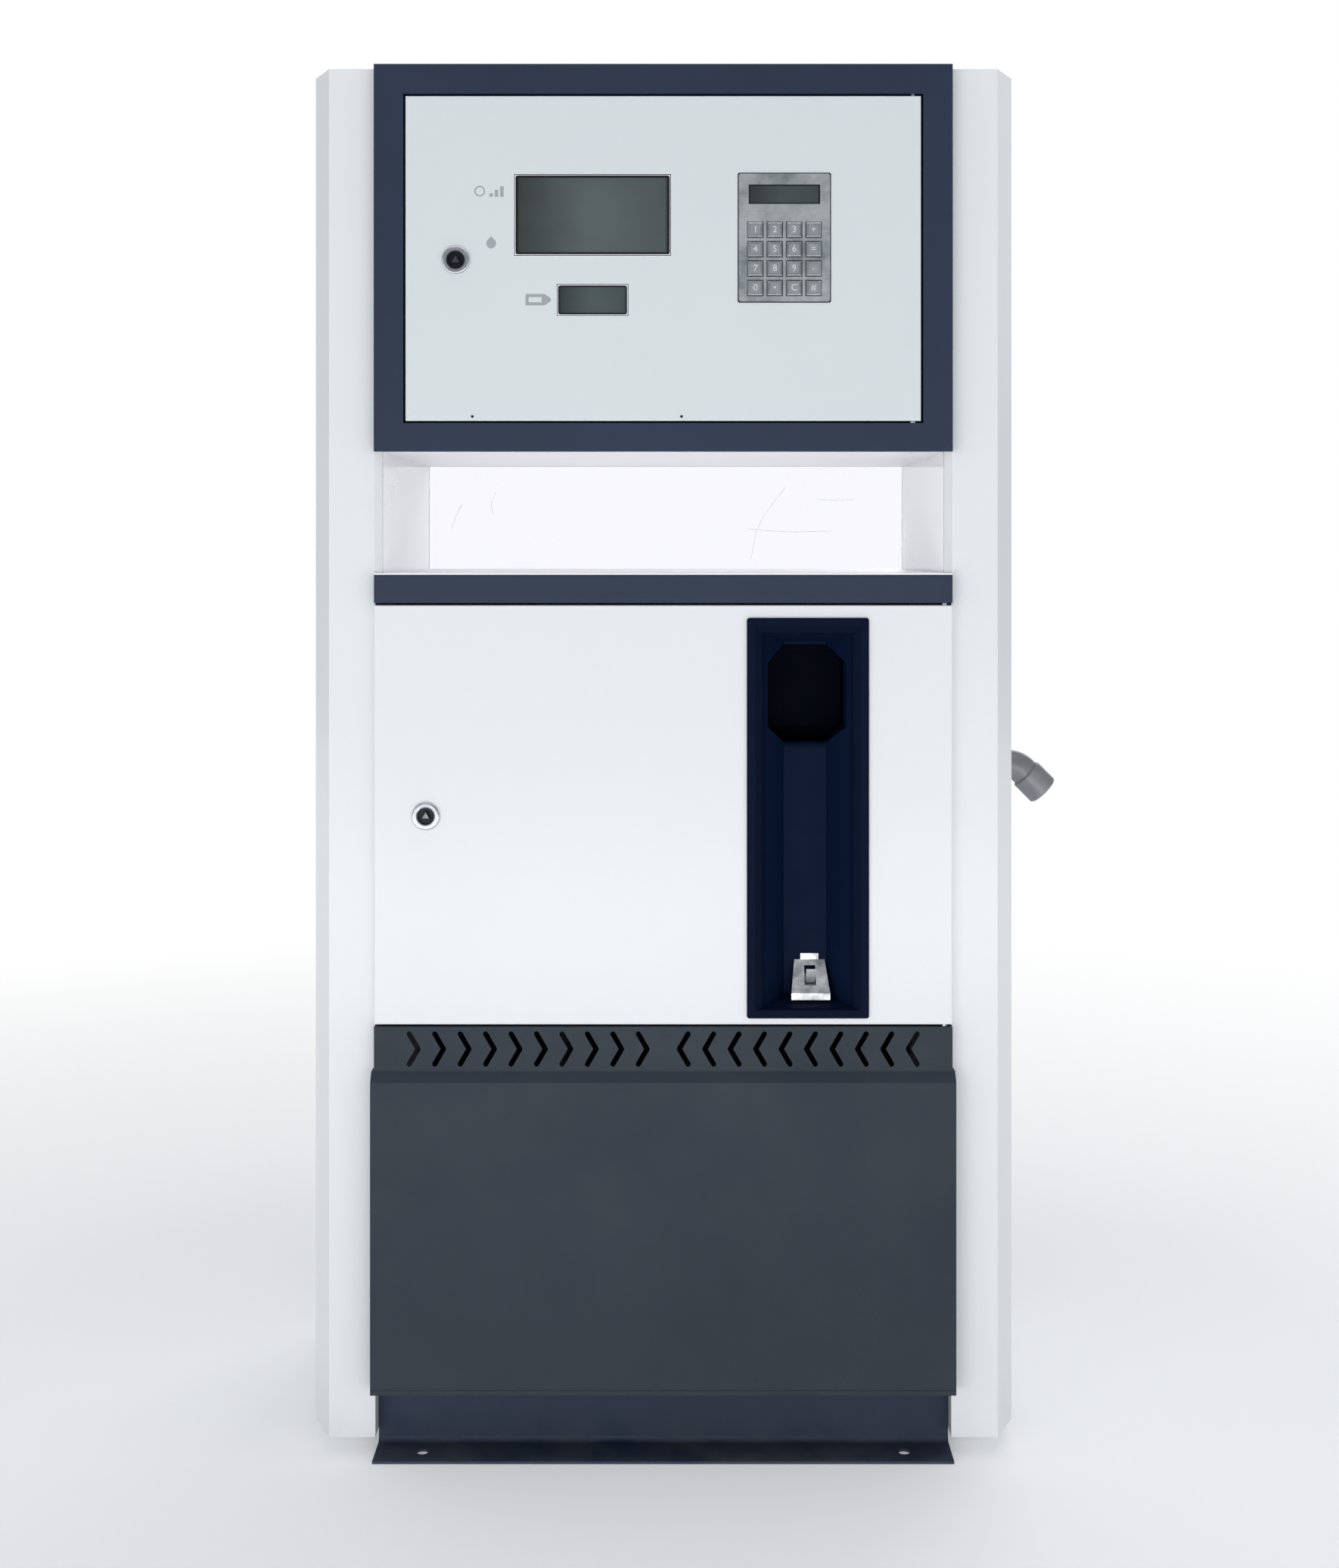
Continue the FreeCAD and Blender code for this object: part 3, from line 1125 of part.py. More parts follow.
save("pump_unit", pump_unit())
save("motor", motor())
save("pump_pulley", pulley(PUMP_PULLEY_R, PUMP_X, PUMP_SHAFT_Z))
save("motor_pulley", pulley(MOTOR_PULLEY_R, MOTOR_X, MOTOR_Z))
save("drive_belt", drive_belt())
save("suction_pipe", suction_pipe())
save("flow_meter", flow_meter())
save("solenoid_valve", solenoid_valve())
save("delivery_pipes", *delivery_pipes())
save("outlet_elbow", outlet_elbow())
save("outlet_nut", outlet_nut())
save("junction_box", junction_box())
save("control_box", control_box())
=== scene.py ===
import bmesh
import bpy
import math
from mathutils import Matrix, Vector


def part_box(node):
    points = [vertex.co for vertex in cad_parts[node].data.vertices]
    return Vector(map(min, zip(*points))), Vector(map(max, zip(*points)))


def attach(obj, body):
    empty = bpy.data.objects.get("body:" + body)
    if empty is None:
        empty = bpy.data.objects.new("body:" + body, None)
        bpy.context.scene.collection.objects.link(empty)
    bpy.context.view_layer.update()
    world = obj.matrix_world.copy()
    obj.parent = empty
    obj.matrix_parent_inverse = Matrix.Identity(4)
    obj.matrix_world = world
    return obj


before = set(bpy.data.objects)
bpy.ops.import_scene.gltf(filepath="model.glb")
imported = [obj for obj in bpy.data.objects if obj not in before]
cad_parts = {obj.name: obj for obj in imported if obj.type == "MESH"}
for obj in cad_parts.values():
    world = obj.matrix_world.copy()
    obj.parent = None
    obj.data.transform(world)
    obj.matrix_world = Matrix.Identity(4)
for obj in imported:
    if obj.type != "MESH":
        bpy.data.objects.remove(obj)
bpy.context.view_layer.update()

# ---- Camera, floor and lights
# The dispenser stands on a pale studio floor under large soft lights. The camera stands level, a
# little above the clear window, in front of the cabinet's middle.
LENS = 47.4
CAMERA_PLACE = (0.018, -2.598, 1.046)
bpy.ops.object.select_all(action="DESELECT")
bpy.ops.object.camera_add(location=CAMERA_PLACE, rotation=(math.radians(90), 0, 0))
camera = bpy.context.object
camera.name = "studio_camera"
camera.data.lens = LENS
camera.data.sensor_width = 36.0
camera.data.shift_x = -0.006
camera.data.shift_y = -0.1515
scene = bpy.context.scene
scene.camera = camera
scene.view_settings.view_transform = "Standard"
scene.view_settings.look = "None"


def tone(red, green, blue):
    """A colour given in the 8-bit steps of a paint chart, as the shader wants it."""
    linear = []
    for step in (red, green, blue):
        share = step / 255
        linear.append(share / 12.92 if share <= 0.04045 else ((share + 0.055) / 1.055) ** 2.4)
    return (*linear, 1.0)


def soft_box(name, place, aim, size, power):
    """Rectangular studio light that looks at a point."""
    bpy.ops.object.light_add(type="AREA", location=place)
    light = bpy.context.object
    light.name = name
    light.data.shape = "RECTANGLE"
    light.data.size, light.data.size_y = size
    light.data.energy = power
    reach = [a - b for a, b in zip(aim, place)]
    flat = math.hypot(reach[0], reach[1])
    light.rotation_euler = (math.atan2(flat, -reach[2]), 0, math.atan2(reach[1], reach[0]) - math.pi / 2)


soft_box("front_left_light", (-2.6, -3.4, 1.1), (0, 0, 0.7), (2.0, 2.0), 12)
soft_box("front_right_light", (2.9, -3.0, 1.0), (0, 0, 0.6), (1.6, 1.8), 8.5)
soft_box("top_light", (0.0, -1.4, 4.2), (0, 0, 0.8), (3.0, 2.2), 6)
soft_box("strip_light", (0.0, -0.34, 3.2), (0, -0.3, 0.9), (3.0, 0.5), 10)
soft_box("rear_light", (1.6, 3.4, 2.6), (0, 0, 0.9), (2.4, 2.2), 34)
soft_box("low_light", (-0.2, -2.7, 0.14), (0, 0, 0.95), (3.2, 0.4), 22)


def feed(tree, socket, value):
    """Joins a socket to another one, or sets it to a plain value."""
    if isinstance(value, bpy.types.NodeSocket):
        tree.links.new(value, socket)
    else:
        socket.default_value = value


def add_node(tree, kind, inputs=None, **settings):
    """A node with its own settings, and with its inputs fed by label or number."""
    node = tree.nodes.new(kind)
    for key, value in settings.items():
        setattr(node, key, value)
    for label, value in (inputs or {}).items():
        feed(tree, node.inputs[label], value)
    return node


ROOM_LIGHT = 0.48
WHITE = (1, 1, 1, 1)
world = bpy.data.worlds.new("studio")
scene.world = world
world.use_nodes = True
sky = world.node_tree
sky.nodes.clear()
room = add_node(sky, "ShaderNodeBackground", {"Color": tone(236, 240, 246), "Strength": ROOM_LIGHT})
backdrop = add_node(sky, "ShaderNodeBackground", {"Color": WHITE, "Strength": 1.0})
ray = add_node(sky, "ShaderNodeLightPath")
seen = add_node(sky, "ShaderNodeMath",
                {0: ray.outputs["Is Camera Ray"], 1: ray.outputs["Is Transmission Ray"]}, operation="MAXIMUM")
both = add_node(sky, "ShaderNodeMixShader", {0: seen.outputs[0], 1: room.outputs[0], 2: backdrop.outputs[0]})
add_node(sky, "ShaderNodeOutputWorld", {"Surface": both.outputs[0]})

FLOOR_R = 9.0
FADE_NEAR = 0.9
FADE_FAR = 3.0
bpy.ops.mesh.primitive_circle_add(vertices=96, radius=FLOOR_R, fill_type="NGON", location=(0, 0, 0))
floor = bpy.context.object
floor.name = "studio_floor"
floor_paint = bpy.data.materials.new("studio_floor")
floor_paint.use_nodes = True
tree = floor_paint.node_tree
shader = tree.nodes["Principled BSDF"]
for label, value in (("Base Color", tone(246, 246, 247)), ("Roughness", 0.8), ("Emission Color", WHITE),
                     ("Emission Strength", 0.22)):
    shader.inputs[label].default_value = value
place = add_node(tree, "ShaderNodeTexCoord").outputs["Object"]
reach = add_node(tree, "ShaderNodeVectorMath", {0: place}, operation="LENGTH")
fade = add_node(tree, "ShaderNodeMapRange",
                {"Value": reach.outputs["Value"], "From Min": FADE_NEAR, "From Max": FADE_FAR})
glow = add_node(tree, "ShaderNodeEmission")
both = add_node(tree, "ShaderNodeMixShader",
                {0: fade.outputs["Result"], 1: shader.outputs["BSDF"], 2: glow.outputs["Emission"]})
feed(tree, tree.nodes["Material Output"].inputs["Surface"], both.outputs["Shader"])
floor.data.materials.append(floor_paint)

# ---- Plinth
# A welded frame of folded steel sheet with out-turned feet, powder coated dark navy. The coat has a
# fine texture, and its foot is dusty and scuffed from the pump island.
NUMBER = "NodeSocketFloat"
COLOUR = "NodeSocketColor"
RELIEF_DEPTH = 0.0004


def new_group(name, inputs, outputs=(("Colour", COLOUR), ("Roughness", NUMBER), ("Height", NUMBER))):
    """A node group with named sockets; gives the group, its given values and the place on the object."""
    group = bpy.data.node_groups.new(name, "ShaderNodeTree")
    for label, kind, value in inputs:
        socket = group.interface.new_socket(label, in_out="INPUT", socket_type=kind)
        socket.default_value = value
    for label, kind in outputs:
        group.interface.new_socket(label, in_out="OUTPUT", socket_type=kind)
    place = add_node(group, "ShaderNodeTexCoord").outputs["Object"]
    return group, add_node(group, "NodeGroupInput").outputs, place


def noise(tree, vector, scale, detail=3.0, roughness=0.5):
    """Noise value at a scale, read along a vector socket."""
    inputs = {"Vector": vector, "Scale": scale, "Detail": detail, "Roughness": roughness}
    return add_node(tree, "ShaderNodeTexNoise", inputs).outputs["Fac"]


def sums(tree, operation, first, second=0.0):
    """One arithmetic step between sockets or plain numbers."""
    return add_node(tree, "ShaderNodeMath", {0: first, 1: second}, operation=operation).outputs[0]


def spread(tree, value, low, high, to_low=0.0, to_high=1.0):
    """A value carried from one range to another, and held at its ends."""
    inputs = {"Value": value, "From Min": low, "From Max": high, "To Min": to_low, "To Max": to_high}
    return add_node(tree, "ShaderNodeMapRange", inputs, clamp=True).outputs["Result"]


def blend_colour(tree, share, first, second):
    """Two colours mixed by a share."""
    return add_node(tree, "ShaderNodeMix", {0: share, 6: first, 7: second}, data_type="RGBA").outputs[2]


def axes_of(tree, place):
    """The X, Y and Z of a place."""
    return add_node(tree, "ShaderNodeSeparateXYZ", {0: place}).outputs


powder_coat, given, place = new_group(
    "powder_coat",
    [("Colour", COLOUR, (0.8, 0.8, 0.8, 1)), ("Shade", COLOUR, (0.6, 0.6, 0.6, 1)),
     ("Dust", COLOUR, (0.5, 0.48, 0.45, 1)), ("Mottle", NUMBER, 0.5), ("Grain Scale", NUMBER, 900.0),
     ("Gloss Low", NUMBER, 0.3), ("Gloss High", NUMBER, 0.45), ("Dust Height", NUMBER, 0.25)])
cloud = spread(powder_coat, noise(powder_coat, place, 2.3, 4.0, 0.55), 0.3, 0.7)
fine = noise(powder_coat, place, given["Grain Scale"], 2.0)
smear = noise(powder_coat, place, 11.0, 5.0, 0.65)
shade = sums(powder_coat, "MULTIPLY", cloud, given["Mottle"])
body = blend_colour(powder_coat, shade, given["Colour"], given["Shade"])
speck = spread(powder_coat, fine, 0.35, 0.7, 0.0, 0.12)
body = blend_colour(powder_coat, speck, body, given["Shade"])
low = spread(powder_coat, axes_of(powder_coat, place)["Z"], 0.0, given["Dust Height"], 1.0, 0.0)
dusty = sums(powder_coat, "MULTIPLY", sums(powder_coat, "POWER", low, 2.0),
             spread(powder_coat, smear, 0.35, 0.75, 0.0, 0.5))
body = blend_colour(powder_coat, dusty, body, given["Dust"])
gloss = spread(powder_coat, smear, 0.3, 0.7, given["Gloss Low"], given["Gloss High"])
add_node(powder_coat, "NodeGroupOutput",
         {"Colour": body, "Roughness": sums(powder_coat, "ADD", gloss, dusty), "Height": fine})


def finish_with(name, group, values, bump, plain, relief_depth=RELIEF_DEPTH):
    """A material that a group gives its pattern; plain values sit on the shader's own sockets."""
    material = bpy.data.materials.new(name)
    material.use_nodes = True
    tree = material.node_tree
    shader = tree.nodes["Principled BSDF"]
    effect = add_node(tree, "ShaderNodeGroup", node_tree=group)
    for label, value in values.items():
        effect.inputs[label].default_value = value
    relief = add_node(tree, "ShaderNodeBump",
                      {"Strength": bump, "Distance": relief_depth, "Height": effect.outputs["Height"]})
    feed(tree, shader.inputs["Normal"], relief.outputs["Normal"])
    feed(tree, shader.inputs["Roughness"], effect.outputs["Roughness"])
    if "Colour" in effect.outputs:
        feed(tree, shader.inputs["Base Color"], effect.outputs["Colour"])
    for label, value in plain.items():
        shader.inputs[label].default_value = value
    return material


def paint(name, colour, shade, dust, mottle, grain, gloss, dust_height=0.25, bump=0.08, specular=0.5,
          coat=0.0):
    """Powder coat of one colour."""
    values = {"Colour": colour, "Shade": shade, "Dust": dust, "Mottle": mottle, "Grain Scale": grain,
              "Gloss Low": gloss[0], "Gloss High": gloss[1], "Dust Height": dust_height}
    plain = {"Specular IOR Level": specular, "Coat Weight": coat, "Coat Roughness": 0.12}
    return finish_with(name, powder_coat, values, bump, plain)


def dress(material, *nodes):
    """Gives CAD nodes a finish."""
    for node in nodes:
        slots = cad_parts[node].data.materials
        for number in range(len(slots)):
            slots[number] = material
        if not slots:
            slots.append(material)


navy_paint = paint("navy_powder_coat", tone(40, 54, 77), tone(32, 43, 63), tone(96, 100, 104), mottle=0.7,
                   grain=1400.0, gloss=(0.42, 0.55), dust_height=0.10, bump=0.25, specular=0.32)
dress(navy_paint, "base_frame")

# ---- Corner posts
# Two closed columns of folded sheet with chamfered outer edges, powder coated glossy white. They are
# a little yellowed, with faint smears and scuffs near the ground.
white_paint = paint("white_powder_coat", tone(237, 240, 242), tone(230, 234, 237), tone(186, 186, 182),
                    mottle=0.35, grain=700.0, gloss=(0.3, 0.36), dust_height=0.12, bump=0.03, specular=0.35,
                    coat=0.12)
dress(white_paint, "left_post", "right_post")

# ---- Lower panels
# Folded steel panels at the front and back, with a joggled top edge and a slotted vent band. The dark
# slate coat has a fine leathery texture.
slate_paint = paint("slate_powder_coat", tone(42, 52, 63), tone(33, 42, 53), tone(92, 96, 98), mottle=0.7,
                    grain=1100.0, gloss=(0.45, 0.6), dust_height=0.22, bump=0.3, specular=0.32)
dress(slate_paint, "lower_panel_front", "lower_panel_rear")

# ---- Rails and the window's floor and ceiling
# Channel-shaped rails tie the posts together under the clear window; a white tray and the head's white
# floor plate close the window below and above.
dress(navy_paint, "cross_rails")
tray_white = paint("tray_white", tone(248, 248, 249), tone(240, 240, 243), tone(190, 188, 184), mottle=0.4,
                   grain=600.0, gloss=(0.3, 0.42), dust_height=0.05, bump=0.04)
dress(tray_white, "window_floor", "head_floor")

# ---- Clear window
# Thick clear acrylic sheets on all four sides, so that the flow indicators can be seen from outside.
# They carry hairline scratches and a faint haze.
hairlines, given, place = new_group("hairline_scratches", [("Density", NUMBER, 0.5)],
                                    (("Roughness", NUMBER), ("Height", NUMBER)))
lines = 0.0
for turn, stretch in ((0.35, 14.0), (-0.6, 9.0), (1.4, 18.0)):
    twist = add_node(hairlines, "ShaderNodeMapping",
                     {"Vector": place, "Rotation": (0, turn, 0), "Scale": (60.0, 4.0, 60.0 / stretch)})
    strand = noise(hairlines, twist.outputs["Vector"], 3.0, 1.0, 0.3)
    off_middle = sums(hairlines, "ABSOLUTE", sums(hairlines, "SUBTRACT", strand, 0.5))
    lines = sums(hairlines, "MAXIMUM", lines, spread(hairlines, off_middle, 0.0, 0.006, 1.0, 0.0))
patchy = spread(hairlines, noise(hairlines, place, 5.0, 2.0), 0.52, 0.68)
marks = sums(hairlines, "MULTIPLY", sums(hairlines, "MULTIPLY", lines, patchy), given["Density"])
add_node(hairlines, "NodeGroupOutput",
         {"Roughness": spread(hairlines, marks, 0.0, 1.0, 0.02, 0.5), "Height": marks})


def clear_sheet(name, tint, density, clarity, ior):
    """Clear sheet that lets the light through to what stands behind it."""
    plain = {"Base Color": tint, "Transmission Weight": clarity, "IOR": ior, "Specular IOR Level": 0.5}
    material = finish_with(name, hairlines, {"Density": density}, 0.2, plain, RELIEF_DEPTH / 2)
    tree = material.node_tree
    ray = add_node(tree, "ShaderNodeLightPath")
    open_air = add_node(tree, "ShaderNodeBsdfTransparent", {"Color": (0.985, 0.985, 0.988, 1)})
    either = add_node(tree, "ShaderNodeMixShader",
                      {0: ray.outputs["Is Shadow Ray"], 1: tree.nodes["Principled BSDF"].outputs["BSDF"],
                       2: open_air.outputs["BSDF"]})
    feed(tree, tree.nodes["Material Output"].inputs["Surface"], either.outputs["Shader"])
    return material


clear_acrylic = clear_sheet("clear_acrylic", tone(252, 252, 254), density=1.0, clarity=1.0, ior=1.12)
edge_acrylic = clear_sheet("edge_lit_acrylic", tone(252, 253, 255), density=0.6, clarity=0.3, ior=1.3)
dress(clear_acrylic, "window_faces")
dress(edge_acrylic, "window_sides")

# ---- Head casing
# The head is a box of folded sheet: a bezel in front, a wrapped cover over the top and sides, and a
# flat screwed cover behind, all in the navy coat.
dress(navy_paint, "head_front_frame", "head_cover", "head_rear_cover")

# ---- Head door
# Light grey door skin over the electronics, hung on pins at its right edge. Its coat is smoother and
# cooler than the posts'.
grey_paint = paint("light_grey_powder_coat", tone(223, 230, 232), tone(217, 224, 228), tone(170, 170, 166),
                   mottle=0.5, grain=800.0, gloss=(0.3, 0.36), dust_height=0.2, bump=0.03, specular=0.5,
                   coat=0.12)
dress(grey_paint, "head_door")

# ---- Cabinet door
# One folded white sheet in front of the pump, with a cut-out for the nozzle's liner. It hangs on pins
# at its right edge.
dress(white_paint, "cabinet_door")

# ---- Displays
# Three liquid-crystal modules stand behind windows in the door skin: a tall one for the amount and the
# volume, and a shallow one for the unit price. The cells are grey-green when off; painted shade darkens
# their edges and their left side.
lcd_cell, given, place = new_group(
    "lcd_cell",
    [("Middle X", NUMBER, 0.0), ("Middle Z", NUMBER, 0.0), ("Half Width", NUMBER, 0.05),
     ("Half Height", NUMBER, 0.02), ("Lit", COLOUR, (0.12, 0.14, 0.14, 1)),
     ("Painted Shade", COLOUR, (0.04, 0.05, 0.05, 1))])
axes = axes_of(lcd_cell, place)
across = sums(lcd_cell, "SUBTRACT", axes["X"], given["Middle X"])
across = sums(lcd_cell, "DIVIDE", across, given["Half Width"])
rise = sums(lcd_cell, "SUBTRACT", axes["Z"], given["Middle Z"])
rise = sums(lcd_cell, "DIVIDE", rise, given["Half Height"])
rim = sums(lcd_cell, "MAXIMUM", sums(lcd_cell, "ABSOLUTE", across), sums(lcd_cell, "ABSOLUTE", rise))
# Painted shade: the cell is darkened towards its left side, a little towards its right side, and at its
# border. The haze below is random tone.
left_painted_shade = spread(lcd_cell, across, -1.0, -0.1, 0.75, 0.0)
right_painted_shade = spread(lcd_cell, across, 0.2, 1.0, 0.0, 0.3)
edge_painted_shade = spread(lcd_cell, rim, 0.93, 0.965, 0.0, 0.9)
haze = spread(lcd_cell, noise(lcd_cell, place, 24.0), 0.3, 0.7, 0.0, 0.12)
side_painted_shade = sums(lcd_cell, "ADD", left_painted_shade, right_painted_shade)
painted_shade_and_haze = sums(lcd_cell, "MAXIMUM", sums(lcd_cell, "ADD", side_painted_shade, haze), edge_painted_shade)
add_node(lcd_cell, "NodeGroupOutput",
         {"Colour": blend_colour(lcd_cell, painted_shade_and_haze, given["Lit"], given["Painted Shade"]),
          "Roughness": spread(lcd_cell, noise(lcd_cell, place, 40.0, 4.0), 0.3, 0.7, 0.08, 0.2),
          "Height": noise(lcd_cell, place, 60.0)})
DISPLAY_LAP = 0.006
KEYPAD_LAP = 0.003


def lcd(name, node, lap, lit):
    """Liquid-crystal finish for the window in front of a display node."""
    low_corner, high_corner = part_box(node)
    # The darker edge colour given here is painted shade at the cell's border and sides.
    values = {"Middle X": (low_corner.x + high_corner.x) / 2, "Middle Z": (low_corner.z + high_corner.z) / 2,
              "Half Width": (high_corner.x - low_corner.x) / 2 - lap,
              "Half Height": (high_corner.z - low_corner.z) / 2 - lap, "Lit": lit, "Painted Shade": tone(30, 36, 34)}
    plain = {"Specular IOR Level": 0.4, "Coat Weight": 0.5, "Coat Roughness": 0.05}
    dress(finish_with(name, lcd_cell, values, 0.02, plain), node)


lcd("amount_lcd", "main_display", DISPLAY_LAP, tone(88, 98, 98))
lcd("price_lcd", "price_display", DISPLAY_LAP, tone(78, 90, 93))
lcd("keypad_lcd", "keypad_display", KEYPAD_LAP, tone(66, 76, 80))

circuit, given, place = new_group("circuit_board", [("Tracks", NUMBER, 260.0)])
tracks = add_node(circuit, "ShaderNodeTexVoronoi", {"Vector": place, "Scale": given["Tracks"]}, feature="F1",
                  distance="MANHATTAN")
copper = spread(circuit, tracks.outputs["Distance"], 0.42, 0.5)
add_node(circuit, "NodeGroupOutput",
         {"Colour": blend_colour(circuit, copper, tone(24, 74, 48), tone(52, 112, 74)),
          "Roughness": spread(circuit, copper, 0.0, 1.0, 0.4, 0.28), "Height": copper})
dress(finish_with("circuit_board", circuit, {}, 0.2, {}), "display_boards")


def place_box(name, low_corner, high_corner):
    """Closed block between two corners, standing at the origin."""
    bpy.ops.object.select_all(action="DESELECT")
    middle = [(a + b) / 2 for a, b in zip(low_corner, high_corner)]
    bpy.ops.mesh.primitive_cube_add(size=1, location=middle)
    block = bpy.context.object
    block.name = name
    block.scale = [b - a for a, b in zip(low_corner, high_corner)]
    bpy.ops.object.transform_apply(location=True, rotation=True, scale=True)
    return block


def pick_faces(block, test):
    """In edit mode, selects only the faces whose middle and normal pass a test."""
    bpy.ops.object.mode_set(mode="EDIT")
    bpy.ops.mesh.select_mode(type="FACE")
    bpy.ops.mesh.select_all(action="DESELECT")
    mesh = bmesh.from_edit_mesh(block.data)
    for face in mesh.faces:
        face.select = test(face.calc_center_median(), face.normal)
    bmesh.update_edit_mesh(block.data)


def round_corners(block, radius):
    """In edit mode, rounds the corners of a block seen from the front."""
    bpy.ops.mesh.select_mode(type="EDGE")
    bpy.ops.mesh.select_all(action="DESELECT")
    mesh = bmesh.from_edit_mesh(block.data)
    for edge in mesh.edges:
        run = edge.verts[0].co - edge.verts[1].co
        edge.select = abs(run.y) > 0.9 * run.length
    bmesh.update_edit_mesh(block.data)
    bpy.ops.mesh.bevel(offset=radius, segments=4, affect="EDGES")


def leave_edit(block):
    """Back to object mode with the normals outward."""
    bpy.ops.mesh.select_all(action="SELECT")
    bpy.ops.mesh.normals_make_consistent(inside=False)
    bpy.ops.object.mode_set(mode="OBJECT")
    return block


def hollow(block, band, corner_radius=0.0):
    """Cuts the middle out of a block or disc from front to back, so that a ring is left."""
    pick_faces(block, lambda middle, normal: abs(normal.y) > 0.9)
    bpy.ops.mesh.inset(thickness=band, depth=0)
    bpy.ops.mesh.bridge_edge_loops()
    if corner_radius:
        round_corners(block, corner_radius)
    return leave_edit(block)


def ring_inside(name, node, lap, front, back, band, corner_radius=0.0):
    """Upright ring between two depths, with its outer edge a lap inside a node's box."""
    low_corner, high_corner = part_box(node)
    ring = place_box(name, (low_corner.x + lap, front, low_corner.z + lap),
                     (high_corner.x - lap, back, high_corner.z - lap))
    return hollow(ring, band, corner_radius)


def put(piece, material, body, smooth=None):
    """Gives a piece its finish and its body."""
    if smooth:
        bpy.ops.object.select_all(action="DESELECT")
        piece.select_set(True)
        bpy.context.view_layer.objects.active = piece
        bpy.ops.object.shade_smooth_by_angle(angle=math.radians(smooth))
    piece.data.materials.append(material)
    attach(piece, body)


moulded_black = paint("moulded_black", tone(13, 16, 23), tone(8, 10, 16), tone(80, 82, 84), mottle=0.6,
                      grain=1500.0, gloss=(0.36, 0.5), dust_height=0.05, bump=0.12, specular=0.3)
# Whiter than the door skin: used for the painted highlight on the display windows' cut edges.
painted_highlight_white = paint("painted_highlight_white", tone(250, 251, 252), tone(242, 244, 246), tone(190, 190, 188), mottle=0.3,
                   grain=700.0, gloss=(0.25, 0.32), dust_height=0.05, bump=0.02, specular=0.6, coat=0.2)
DOOR_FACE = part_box("head_door")[0].y
DISPLAY_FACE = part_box("main_display")[0].y
GASKET_BACK = 0.0003
HIGHLIGHT_BAND = 0.0022
HIGHLIGHT_RISE = 0.0003
for node, band in (("main_display", 0.0022), ("price_display", 0.0016)):
    ring = ring_inside(f"{node}_gasket", node, lap=DISPLAY_LAP, front=DOOR_FACE + GASKET_BACK,
                       back=DISPLAY_FACE, band=band, corner_radius=band / 2)
    put(ring, moulded_black, "head_door")
# The door skin's real cut edge round each display window, painted whiter than the skin as a painted
# highlight.
for node in ("main_display", "price_display"):
    edge = ring_inside(f"{node}_cut_edge_highlight", node, lap=DISPLAY_LAP - HIGHLIGHT_BAND, front=DOOR_FACE - HIGHLIGHT_RISE,
                       back=DOOR_FACE + HIGHLIGHT_RISE, band=HIGHLIGHT_BAND, corner_radius=HIGHLIGHT_BAND)
    put(edge, painted_highlight_white, "head_door")

# ---- Caption marks
# Small grey marks screen-printed on the door skin beside the readings: a coin stack for the amount, a
# drop for the volume and a price tag. They are thin ink films on the paint.
PRINT_FACE = DOOR_FACE - 0.00015
PRINT_BACK = DOOR_FACE + 0.0002
print_ink = paint("printed_ink", tone(160, 168, 172), tone(174, 181, 185), tone(160, 160, 158), mottle=0.5,
                  grain=900.0, gloss=(0.35, 0.45), dust_height=0.2, bump=0.02, specular=0.4)


def place_rod(name, start, axis, radius, length, corners=48):
    """Closed cylinder or nut from a start point along +X, +Y or +Z, standing at the origin."""
    turn = {"X": (0, math.radians(90), 0), "Y": (math.radians(90), 0, 0), "Z": (0, 0, 0)}[axis]
    middle = list(start)
    middle["XYZ".index(axis)] += length / 2
    bpy.ops.object.select_all(action="DESELECT")
    bpy.ops.mesh.primitive_cylinder_add(vertices=corners, radius=radius, depth=length, location=middle,
                                        rotation=turn)
    rod = bpy.context.object
    rod.name = name
    bpy.ops.object.transform_apply(location=True, rotation=True, scale=True)
    return rod


def print_mark(mark):
    """Prints one mark on the head door."""
    put(mark, print_ink, "head_door")


COIN_START = (-0.2105, PRINT_FACE, 1.4535)
COIN_R = 0.0062
COIN_RIM = 0.0016
BAR_WIDE = 0.0040
BAR_PITCH = 0.0062
BAR_STEP = 0.004
BARS_LEFT = -0.1995
BARS_FOOT = 1.447
PRINT_FILM = PRINT_BACK - PRINT_FACE
ROUND_SIDES = 40
coin = place_rod("amount_mark_coin", COIN_START, "Y", radius=COIN_R, length=PRINT_FILM, corners=ROUND_SIDES)
print_mark(hollow(coin, COIN_RIM))
for step in range(3):
    left = BARS_LEFT + step * BAR_PITCH
    print_mark(place_box(f"amount_mark_bar_{step + 1}", (left, PRINT_FACE, BARS_FOOT),
                         (left + BAR_WIDE, PRINT_BACK, BARS_FOOT + (step + 1) * BAR_STEP)))

DROP_START = (-0.1975, PRINT_FACE, 1.3935)
DROP_R = 0.0056
DROP_TIP = (DROP_START[0], PRINT_FACE, DROP_START[2] + 1.5 * DROP_R)
TIP_ARC = math.radians(40)
TIP_BLUNT = 0.12
drop = place_rod("volume_mark_drop", DROP_START, "Y", radius=DROP_R, length=PRINT_FILM, corners=ROUND_SIDES)
pick_faces(drop, lambda middle, normal: normal.z > math.cos(TIP_ARC))
bpy.ops.transform.resize(value=(TIP_BLUNT, 1, TIP_BLUNT), center_override=DROP_TIP)
print_mark(leave_edit(drop))

